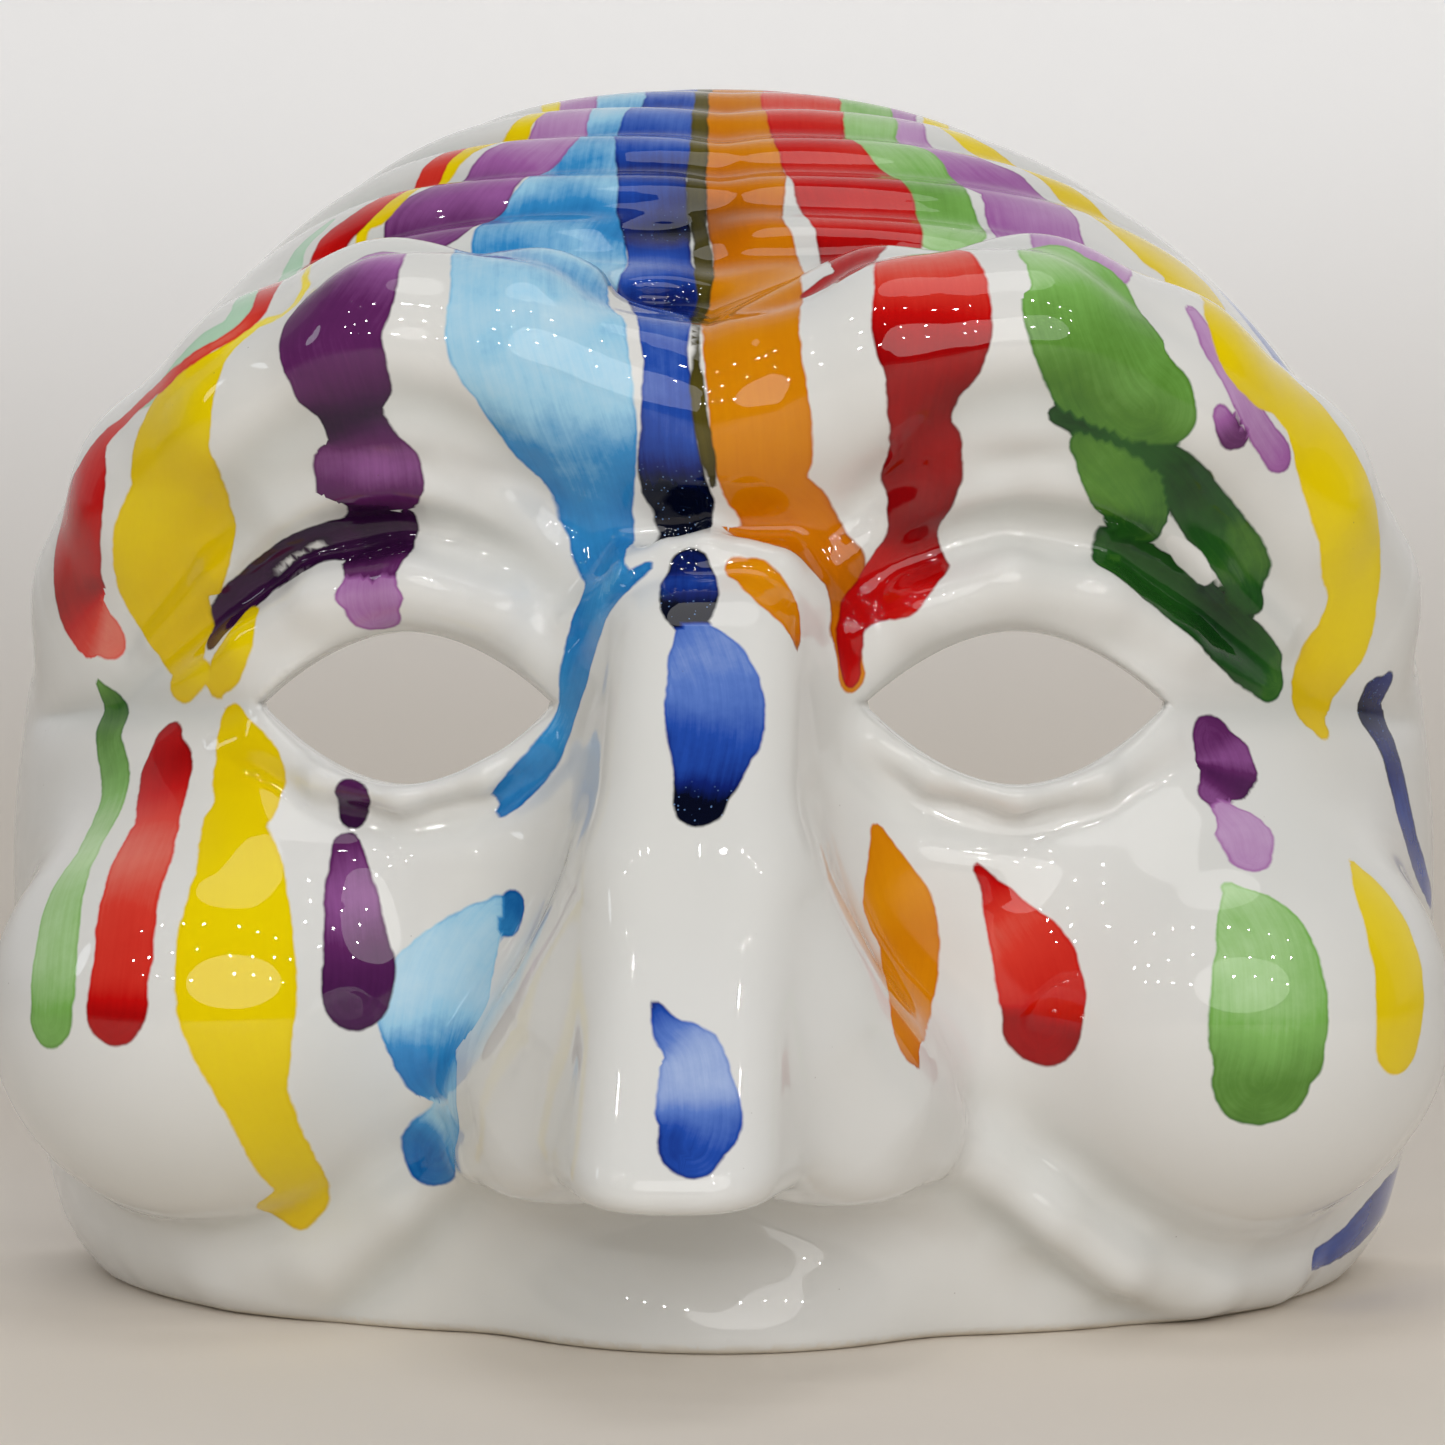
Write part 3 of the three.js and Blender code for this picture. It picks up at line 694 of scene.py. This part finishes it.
            (-48.6, 36, 1.4, .4), (-51.4, 33.5, .8, .2), (-55.4, 32.5, .8, .2),
            (-59, 32, 1, .3), (-62.6, 32.5, 1, .35), (-66.2, 32, 1, .4), (-69, 31, 1.8, .5),
            (-70.6, 27.5, 4.2, .55), (-72.4, 24.5, 5.6, .6), (-73.4, 21.5, 6.2, .6),
            (-72.8, 17.5, 6, .7), (-71.4, 14, 5.2, .35), (-69.8, 12, 3, .05),
        ]),
        (FRONT, [
            (-61.2, -2, 2.2, .6), (-60.8, -4.5, 3.6, .65), (-60.6, -7.5, 3.4, .55),
            (-60.4, -10.5, 3, .3), (-61, -14.5, 3.6, .15), (-61.6, -19, 3.6, .25),
            (-61.6, -24, 3.6, .35), (-61.8, -27.5, 3.6, .4), (-62, -30.5, 3.6, .65),
        ]),
        (PITCHED, [
            (8.4, 88, 4.6, .4), (9.2, 76, 5, .2), (10.4, 66, 4.6, .5), (12.6, 61, 5.6, .35),
            (15, 57, 6.8, .55),
            (17, 52, 6.6, .4), (17.2, 48, 5.8, .6), (15.2, 36.5, 2.8, .6),
            (12.6, 35, 1.6, .6), (10, 34, .8, .55),
        ]),
        (PITCHED, [
            (23.2, 34.5, 5.6, .2), (23.8, 31.5, 6.2, .35), (23.8, 28.5, 6.4, .65),
            (23.6, 26, 5.4, .75), (23.2, 24.5, 4.2, .75), (22.8, 22.5, 3.6, .7),
            (23.2, 21.5, 4, .7), (22.6, 19.5, 4, .75), (22.4, 16.5, 3.6, .75),
            (21.8, 14.5, 3.8, .6), (20, 12, 3.8, .5),
        ]),
        (FRONT, [
            (20, 14.5, 3.6, .5), (17.2, 12.5, 2.4, .55), (15.8, 10, 1.6, .6),
            (15.4, 7, 1.6, .6), (15.4, 5, 1.4, .55),
        ]),
        (FRONT, [
            (28.8, -15.5, .6, .6), (30.2, -17.5, 1.2, .55), (32.2, -21, 3, .25),
            (34.6, -25, 4.6, .35), (35.8, -29.5, 5, .5), (35.6, -32, 4.6, .75),
        ]),
    ],
}


def mark_layers(points):
    """Per colour, for every point: how far inside a mark it is, the load, and where on the mark."""
    layers = {}
    for colour, rows in MARKS.items():
        found = np.tile(np.array([-6.0, 0.5, 0.0, 0.0]), (len(points), 1))
        for kind, row in rows:
            c = smooth_curve(row)
            path = lift(kind, c[:, 0], c[:, 1])
            reach = c[:, 2].max() + 5
            near = np.where(((points > path.min(0) - reach) & (points < path.max(0) + reach)).all(1))[0]
            dist, columns, along, side = nearest_on(path, c[:, 2:], points[near])
            inside = columns[:, 0] - dist
            better = inside > found[near, 0]
            chosen = near[better]
            found[chosen] = np.stack([inside, columns[:, 1], dist * side, along], -1)[better]
        layers[colour] = found
    return layers


# ---------------------------------------------------------------- materials
def srgb(r, g, b):
    linear = [v / 255 / 12.92 if v <= 10 else ((v / 255 + 0.055) / 1.055) ** 2.4 for v in (r, g, b)]
    return (*linear, 1.0)


class Nodes:
    """Short calls for building a node tree."""

    def __init__(self, name):
        self.material = bpy.data.materials.new(name)
        self.material.use_nodes = True
        self.tree = self.material.node_tree
        self.shader = self.tree.nodes["Principled BSDF"]
        self.place = self.new("ShaderNodeTexCoord").outputs["Object"]

    def new(self, kind, **values):
        node = self.tree.nodes.new(kind)
        for key, value in values.items():
            setattr(node, key, value)
        return node

    def put(self, socket, value):
        if isinstance(value, bpy.types.NodeSocket):
            self.tree.links.new(value, socket)
        else:
            socket.default_value = value

    def math(self, operation, a, b=0.0, c=0.0, clamp=False):
        node = self.new("ShaderNodeMath", operation=operation, use_clamp=clamp)
        for socket, value in zip(node.inputs, (a, b, c)):
            self.put(socket, value)
        return node.outputs[0]

    def noise(self, scale, detail=2.0, rough=0.5, vector=None, stretch=None):
        vector = self.place if vector is None else vector
        if stretch:
            turn = self.new("ShaderNodeMapping")
            turn.inputs["Scale"].default_value = stretch
            self.put(turn.inputs["Vector"], vector)
            vector = turn.outputs[0]
        node = self.new("ShaderNodeTexNoise")
        self.put(node.inputs["Vector"], vector)
        node.inputs["Scale"].default_value = scale
        node.inputs["Detail"].default_value = detail
        node.inputs["Roughness"].default_value = rough
        return node.outputs["Fac"]

    def cells(self, scale, feature="F1"):
        node = self.new("ShaderNodeTexVoronoi", feature=feature)
        self.put(node.inputs["Vector"], self.place)
        node.inputs["Scale"].default_value = scale
        return node.outputs["Distance"]

    def range(self, value, low, high, to_low=0.0, to_high=1.0):
        node = self.new("ShaderNodeMapRange", interpolation_type="SMOOTHSTEP")
        for socket, v in zip(node.inputs, (value, low, high, to_low, to_high)):
            self.put(socket, v)
        return node.outputs[0]

    def ramp(self, value, stops):
        node = self.new("ShaderNodeValToRGB")
        band = node.color_ramp
        while len(band.elements) < len(stops):
            band.elements.new(0.5)
        for element, (at, colour) in zip(band.elements, stops):
            element.position = at
            element.color = srgb(*colour)
        self.put(node.inputs[0], value)
        return node.outputs[0]

    def mix(self, share, a, b, blend="MIX"):
        node = self.new("ShaderNodeMix", data_type="RGBA", blend_type=blend)
        self.put(node.inputs[0], share)
        self.put(node.inputs[6], a)
        self.put(node.inputs[7], b)
        return node.outputs[2]

    def attribute(self, name):
        node = self.new("ShaderNodeAttribute", attribute_name=name)
        split = self.new("ShaderNodeSeparateXYZ")
        self.put(split.inputs[0], node.outputs["Vector"])
        return (*split.outputs, node.outputs["Alpha"])

    def bump(self, height, strength, distance, normal=None):
        node = self.new("ShaderNodeBump")
        node.inputs["Strength"].default_value = strength
        node.inputs["Distance"].default_value = distance
        self.put(node.inputs["Height"], height)
        if normal is not None:
            self.put(node.inputs["Normal"], normal)
        return node.outputs[0]

    def finish(self, colour, rough, normal, coat=0.0):
        """Connect the shader. Where coat is None, only the coat shines and the caller links it."""
        self.put(self.shader.inputs["Base Color"], colour)
        self.put(self.shader.inputs["Roughness"], rough)
        self.put(self.shader.inputs["Normal"], normal)
        self.shader.inputs["Coat Weight"].default_value = coat or 0.0
        self.shader.inputs["Coat Roughness"].default_value = 0.02
        self.shader.inputs["Coat IOR"].default_value = 1.45
        self.shader.inputs["Specular IOR Level"].default_value = 0.0 if coat is None else 0.5
        self.shader.inputs["IOR"].default_value = 1.5
        return self.material


# Colour of each pigment under the glaze, from a thin wash to a thick load.
PIGMENTS = {
    "mint": [(0, (215, 232, 218)), (.5, (175, 215, 185)), (1, (130, 185, 145))],
    "sky": [(0, (210, 234, 246)), (.35, (160, 212, 240)), (.6, (55, 145, 208)), (1, (0, 85, 160))],
    "purple": [
        (0, (208, 172, 212)), (.25, (164, 100, 168)), (.5, (98, 40, 98)), (.75, (64, 22, 68)),
        (1, (36, 12, 44)),
    ],
    "green": [
        (0, (190, 225, 170)), (.3, (128, 184, 92)), (.55, (86, 136, 48)), (.78, (34, 86, 28)),
        (1, (12, 50, 18)),
    ],
    "yellow": [
        (0, (250, 238, 130)), (.3, (246, 220, 0)), (.6, (228, 194, 0)), (.85, (190, 158, 0)),
        (1, (150, 115, 0)),
    ],
    "amber": [
        (0, (240, 190, 100)), (.3, (230, 150, 8)), (.6, (204, 112, 0)), (.8, (150, 76, 0)),
        (1, (95, 45, 5)),
    ],
    "olive": [(0, (150, 135, 50)), (.5, (96, 86, 28)), (1, (34, 34, 18))],
    "red": [
        (0, (236, 140, 122)), (.3, (222, 62, 48)), (.55, (200, 12, 10)), (.8, (142, 2, 6)),
        (1, (92, 4, 12)),
    ],
    "cobalt": [
        (0, (176, 196, 236)), (.3, (96, 130, 208)), (.55, (36, 78, 176)), (.78, (16, 36, 116)),
        (1, (4, 8, 30)),
    ],
    "white": [(0, (226, 226, 223)), (1, (226, 226, 223))],
}
# How much darker each pigment is per millimetre of crease: partly pigment pooled in the crease, partly
# painted shade.
CREASE_DARKENING = {
    "mint": 0.1, "sky": 0.14, "purple": 0.06, "green": 0.08, "white": 0, "yellow": 0.08,
    "amber": 0.1, "olive": 0.12, "red": 0.07, "cobalt": 0.16,
}
# How much the bristles show in each pigment.
STREAK = {
    "mint": 0.1, "sky": 0.2, "purple": 0.12, "green": 0.16, "white": 0, "yellow": 0.05,
    "amber": 0.1, "olive": 0.2, "red": 0.1, "cobalt": 0.2,
}
# How cloudy each wash has dried.
CLOUDY = {
    "mint": 0.4, "sky": 0.8, "purple": 0.3, "green": 0.5, "white": 0, "yellow": 0.15, "amber": 0.25,
    "olive": 0.5, "red": 0.25, "cobalt": 0.6,
}
ORDER = ["mint", "sky", "purple", "green", "white", "yellow", "amber", "cobalt", "olive", "red"]


def painted_glaze():
    n = Nodes("painted_glaze")
    crease_depth, bare, fired, _ = n.attribute("surface_facts")
    cloud = n.noise(22, 3)
    mottle = n.noise(75, 6, 0.62)
    fine = n.noise(260, 3, 0.6)
    colour = n.ramp(cloud, [(0.3, (226, 226, 222)), (0.7, (232, 232, 230))])
    # Painted shade: the white glaze turns grey with crease depth, partly for glaze pooled there and
    # partly for the shade in the crease.
    colour = n.mix(n.range(crease_depth, 0.2, 2.2, 0, 0.5), colour, srgb(196, 200, 196))
    wobble = n.math("MULTIPLY", n.math("SUBTRACT", n.noise(330, 2), 0.5), 0.9)
    for name in ORDER:
        depth, load, across, along = n.attribute("mark_" + name)
        edge = n.math("ADD", depth, wobble)
        shown = n.range(edge, -0.12, 0.28)
        place = n.new("ShaderNodeCombineXYZ")
        n.put(place.inputs[0], n.math("MULTIPLY", across, 1.6))
        n.put(place.inputs[1], n.math("MULTIPLY", along, 0.09))
        streak = n.noise(1.0, 3, 0.6, place.outputs[0])
        thick = n.math("MULTIPLY_ADD", n.math("SUBTRACT", streak, 0.5), STREAK[name], load)
        thick = n.math("MULTIPLY_ADD", n.math("SUBTRACT", mottle, 0.5), CLOUDY[name], thick)
        # Painted shade together with pooled pigment: each wash darkens with crease depth.
        thick = n.math("MULTIPLY_ADD", crease_depth, CREASE_DARKENING[name], thick)
        rim = n.range(edge, 0.6, 0.1, 0, 0.12)
        thick = n.math("ADD", thick, rim, clamp=True)
        wash = n.ramp(thick, PIGMENTS[name])
        if name == "cobalt":
            grains = n.range(n.cells(1500), 0.2, 0.1)
            glitter = n.math("MULTIPLY", grains, n.range(thick, 0.75, 0.95, 0, 0.6))
            wash = n.mix(glitter, wash, srgb(120, 160, 215))
        colour = n.mix(shown, colour, wash)
    specks = n.range(n.cells(420), 0.045, 0.02)
    specks = n.math("MULTIPLY", specks, n.range(n.noise(60, 1), 0.6, 0.68))
    colour = n.mix(n.math("MULTIPLY", specks, 0.55), colour, srgb(90, 70, 55))
    biscuit = n.ramp(fine, [(0.3, (214, 205, 190)), (0.7, (232, 226, 214))])
    colour = n.mix(bare, colour, biscuit)
    rough = n.math("MULTIPLY_ADD", bare, 0.62, n.range(n.noise(90, 2), 0.3, 0.7, 0.05, 0.11))
    normal = n.bump(n.noise(70, 2), 0.5, 0.00016)
    normal = n.bump(n.noise(210, 2), 0.35, 0.00004, normal)
    n.finish(colour, rough, normal, coat=None)
    n.put(n.shader.inputs["Coat Weight"], n.math("SUBTRACT", 1.0, bare, clamp=True))
    n.put(n.shader.inputs["Coat Normal"], normal)
    return n.material


def lug_glaze():
    n = Nodes("lug_glaze")
    cloud = n.noise(80, 3)
    colour = n.ramp(cloud, [(0.3, (222, 219, 210)), (0.7, (233, 231, 226))])
    specks = n.range(n.cells(500), 0.05, 0.02)
    colour = n.mix(n.math("MULTIPLY", specks, 0.4), colour, srgb(120, 95, 70))
    rough = n.range(n.noise(200, 2), 0.3, 0.7, 0.12, 0.25)
    normal = n.bump(n.noise(150, 3), 0.5, 0.0003)
    return n.finish(colour, rough, normal, coat=0.8)


def wire_steel():
    n = Nodes("wire_steel")
    draw = n.noise(900, 3, 0.6, stretch=(0.06, 1, 1))
    spangle = n.noise(300, 2)
    colour = n.ramp(spangle, [(0.35, (158, 162, 166)), (0.65, (188, 191, 193))])
    rough = n.range(draw, 0.3, 0.7, 0.28, 0.48)
    n.shader.inputs["Metallic"].default_value = 1.0
    return n.finish(colour, rough, n.bump(draw, 0.4, 0.00005))


# ---------------------------------------------------------------- pieces
def build_shell():
    points, quads, normals = draw_field(shell_field, *DRAWN, CELL, 6.5)
    obj = mesh_object("glazed_shell", points, quads, normals)
    plain = face(points)
    hollow = hollow_at(points) * (plain > -4.2)
    back = ease(points[:, 1], 1.2, 0.5)
    foot = ease(points[:, 2] - SOLE_Z, 0.9, 0.4)
    bare = np.maximum(back, foot)
    inner = ease(face(points, lining=True), -WALL + 1.6, -WALL + 0.6)
    # The first column is crease depth, which the glaze material paints as shade in the creases.
    facts = np.stack([hollow, bare, inner, 0 * hollow], -1)
    layers = {"surface_facts": facts}
    slope = gradient(face, points)
    on_plain = points - slope * (plain / (slope**2).sum(1))[:, None]
    for colour, found in mark_layers(on_plain).items():
        found[:, 0] -= 20 * ease(plain + hollow, -1.5, -3.0)
        layers["mark_" + colour] = found
    for name, rows in layers.items():
        attribute = obj.data.attributes.new(name, "FLOAT_COLOR", "POINT")
        attribute.data.foreach_set("color", rows.astype(np.float32).ravel())
    obj.data.materials.append(painted_glaze())
    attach(obj, "mask")
    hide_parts("mask_shell")
    print("shell", len(points), "points", 2 * len(quads), "triangles")


def build_lug(side, name, material):
    """Pierced clay tab, thumbed on to the inside of the crown with a spread foot."""
    hub = np.array([side * PIVOT["x"], PIVOT["depth"], PIVOT["z"]])

    def field(p):
        u, v, w = (p - hub).T
        wall = face(p, lining=True) + WALL
        spread = LUG["spread"] * np.exp(np.minimum(wall, 0) / 1.7)
        neck = np.abs(v) - LUG["radius"] - 0.075 * w
        outline = np.where(w < 0, np.hypot(v, w) - LUG["radius"], neck)
        thumbed = 0.25 * np.sin(0.9 * v + 0.7 * w + side) * ease(w, 2, 7)
        f = cut(outline - spread, np.abs(u) - LUG["half_thick"] - spread - thumbed, 2.2)
        f = cut(f, LUG["hole"] - np.hypot(v, w), 0.5)
        return cut(f, wall - LUG["sunk"], 0.3)

    cell = 0.34
    points, quads, normals = draw_field(field, hub - (9, 9.5, 7), hub + (9, 12, 26), cell, 6 * cell)
    obj = mesh_object(f"luted_lug_{name}", points, quads, normals)
    obj.data.materials.append(material)
    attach(obj, "mask")
    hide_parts(f"hanging_lug_{name}")


def wire_curve(points, pieces):
    """Centripetal Catmull-Rom curve through points."""
    p = np.array(points, float)
    p = np.vstack([2 * p[0] - p[1], p, 2 * p[-1] - p[-2]])
    out = []
    for i in range(1, len(p) - 2):
        gaps = [np.linalg.norm(p[j + 1] - p[j]) ** 0.5 for j in (i - 1, i, i + 1)]
        start = (p[i] - p[i - 1]) / gaps[0] - (p[i + 1] - p[i - 1]) / (gaps[0] + gaps[1])
        start = (start + (p[i + 1] - p[i]) / gaps[1]) * gaps[1]
        end = (p[i + 1] - p[i]) / gaps[1] - (p[i + 2] - p[i]) / (gaps[1] + gaps[2])
        end = (end + (p[i + 2] - p[i + 1]) / gaps[2]) * gaps[1]
        for t in np.arange(pieces) / pieces:
            step = p[i + 1] - p[i]
            bend = (3 * step - 2 * start - end) * t**2
            out.append(p[i] + start * t + bend + (start + end - 2 * step) * t**3)
    out.append(p[-2])
    return np.array(out)


def build_bail():
    """Round wire with a shallow V for the nail and softly filed ends."""
    reach, shoulder, radius = BAIL["reach"], BAIL["shoulder"], BAIL["radius"]
    half = [(BAIL["end"], 0), (shoulder + 2, 0), (shoulder, -0.3), (shoulder - 3, -1.2)]
    half += [(BAIL["tip"] + 2, 1.4 - reach), (BAIL["tip"] - 1, 0.4 - reach)]
    other_half = [(-x, z) for x, z in reversed(half)]
    spine = wire_curve(half + [(0, -reach)] + other_half, 12)
    heading = np.gradient(spine, axis=0)
    heading /= np.linalg.norm(heading, axis=1)[:, None]
    sides = 28
    rings, normals = [], []
    filed = [(0.0, 0.35), (0.12, 0.75), (0.4, 1.0)]
    stops = [(0, back, size) for back, size in filed] + [(i, 0, 1.0) for i in range(1, len(spine) - 1)]
    stops += [(len(spine) - 1, -back, size) for back, size in reversed(filed)]
    for i, shift, size in stops:
        centre = spine[i] + heading[i] * shift
        for k in range(sides):
            turn = 2 * math.pi * k / sides
            across = np.array([-heading[i][1], heading[i][0]])
            offset = across * math.cos(turn)
            normal = np.array([offset[0], math.sin(turn), offset[1]])
            rings.append([centre[0], PIVOT["depth"], PIVOT["z"] + centre[1]] + normal * radius * size)
            lean = math.sqrt(1 - size * size) * (1 if i else -1)
            normals.append(normal * size + np.array([heading[i][0], 0, heading[i][1]]) * lean)
    quads = []
    for i in range(len(stops) - 1):
        for k in range(sides):
            here, beside = i * sides + k, i * sides + (k + 1) % sides
            quads.append([here, beside, beside + sides, here + sides])
    for first in (0, (len(stops) - 1) * sides):
        ring = list(range(first, first + sides))
        pairs = [(ring[k], ring[k + 1], ring[-k - 2], ring[-k - 1]) for k in range(sides // 2 - 1)]
        quads += [list(q) if first == 0 else list(q)[::-1] for q in pairs]
    obj = mesh_object("wire_bail", np.array(rings), np.array(quads)[:, ::-1], np.array(normals))
    obj.data.materials.append(wire_steel())
    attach(obj, "bail")
    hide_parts("hanging_bail")


build_shell()
clay = lug_glaze()
build_lug(-1, "left", clay)
build_lug(1, "right", clay)
build_bail()


# ---------------------------------------------------------------- studio
def stage_sweep():
    """Floor that curves up into a plain wall."""
    profile = [(-6, 0.0), (0.35, 0.0)]
    for turn in range(0, 95, 10):
        angle = math.radians(turn)
        profile.append((0.35 + 0.3 * math.sin(angle), 0.3 - 0.3 * math.cos(angle)))
    profile.append((0.65, 4.0))
    points = [(x, y, z) for y, z in profile for x in (-6, 6)]
    faces = [(2 * i, 2 * i + 1, 2 * i + 3, 2 * i + 2) for i in range(len(profile) - 1)]
    mesh = bpy.data.meshes.new("sweep")
    mesh.from_pydata(points, [], faces)
    mesh.polygons.foreach_set("use_smooth", [True] * len(mesh.polygons))
    obj = bpy.data.objects.new("sweep", mesh)
    bpy.context.scene.collection.objects.link(obj)
    n = Nodes("sweep_paper")
    height = n.new("ShaderNodeSeparateXYZ")
    n.put(height.inputs[0], n.place)
    up = n.range(height.outputs[2], 0.0, 0.3)
    tone = n.mix(up, srgb(236, 226, 213), srgb(247, 247, 247))
    n.put(n.shader.inputs["Emission Color"], n.mix(up, (0, 0, 0, 1), srgb(250, 250, 252)))
    n.shader.inputs["Emission Strength"].default_value = 0.3
    tone = n.mix(n.range(n.noise(4, 2), 0.3, 0.7, 0, 0.3), tone, srgb(244, 242, 240))
    mesh.materials.append(n.finish(tone, 0.7, n.bump(n.noise(400, 2), 0.1, 0.0002)))


def lamp(name, place, aim, size, power, tint=(1, 1, 1)):
    light = bpy.data.lights.new(name, "AREA")
    light.shape = "ELLIPSE"
    light.size, light.size_y = size
    light.energy = power
    light.color = tint
    obj = bpy.data.objects.new(name, light)
    obj.location = place
    obj.rotation_euler = (Vector(aim) - Vector(place)).to_track_quat("-Z", "Y").to_euler()
    bpy.context.scene.collection.objects.link(obj)


stage_sweep()
CENTRE = (0, 0, 0.075)
lamp("overhead", (0.1, -0.3, 1.2), CENTRE, (0.7, 0.5), 1.6, (1, 0.99, 0.97))
lamp("front_key", (0.35, -1.5, 0.62), CENTRE, (1.4, 0.9), 8.0, (1, 0.985, 0.965))
lamp("left_window", (-1.1, -0.35, 0.5), CENTRE, (0.12, 0.3), 0.35, (0.85, 0.93, 1))
# Small lamps on either side whose glints sit in the glaze
LAMP_ROWS, LAMPS_IN_ROW = 3, 4
for side in (-1, 1):
    for i in range(LAMPS_IN_ROW):
        for j in range(LAMP_ROWS):
            stray = math.sin(7 * i + 4 * j + side)
            out_x = side * (0.12 + 0.15 * i) + 0.03 * stray
            spot = (out_x, -0.75 + 0.12 * j, 0.36 + 0.17 * j + 0.04 * stray)
            wide = 0.016 + 0.006 * math.cos(5 * i + 3 * j)
            lamp(f"point_{'left' if side < 0 else 'right'}_{i}_{j}", spot, CENTRE, (wide, wide), 0.11)
world = bpy.data.worlds.new("studio")
world.use_nodes = True
sky = world.node_tree
heading = sky.nodes.new("ShaderNodeSeparateXYZ")
sky.links.new(sky.nodes.new("ShaderNodeTexCoord").outputs["Generated"], heading.inputs[0])
fade = sky.nodes.new("ShaderNodeMapRange")
fade.interpolation_type = "SMOOTHSTEP"
for socket, value in zip(fade.inputs, (0, -0.3, 0.7, 0.05, 0.45)):
    socket.default_value = value
sky.links.new(heading.outputs[1], fade.inputs[0])
sky.links.new(fade.outputs[0], sky.nodes["Background"].inputs[1])
sky.nodes["Background"].inputs[0].default_value = (0.95, 0.97, 1, 1)
bpy.context.scene.world = world
bpy.context.scene.view_settings.view_transform = "Standard"

# ---------------------------------------------------------------- camera
VIEW = dict(distance=390.0, depth=30.0, azimuth=2.5, focal_px=3303.0, image_px=1445.0, sensor=36.0)
camera = bpy.data.cameras.new("camera")
camera.sensor_width = VIEW["sensor"]
camera.lens = VIEW["focal_px"] / VIEW["image_px"] * VIEW["sensor"]
camera.clip_start = 0.01
eye_point = bpy.data.objects.new("camera", camera)
swing = math.radians(VIEW["azimuth"])
aim = Vector(part(np.array([[0.0, VIEW["depth"], 0.0]]))[0])
eye_point.location = aim + Vector((math.sin(swing), -math.cos(swing), 0)) * VIEW["distance"] / 1000
eye_point.rotation_euler = (aim - eye_point.location).to_track_quat("-Z", "Y").to_euler()
bpy.context.scene.collection.objects.link(eye_point)
bpy.context.scene.camera = eye_point
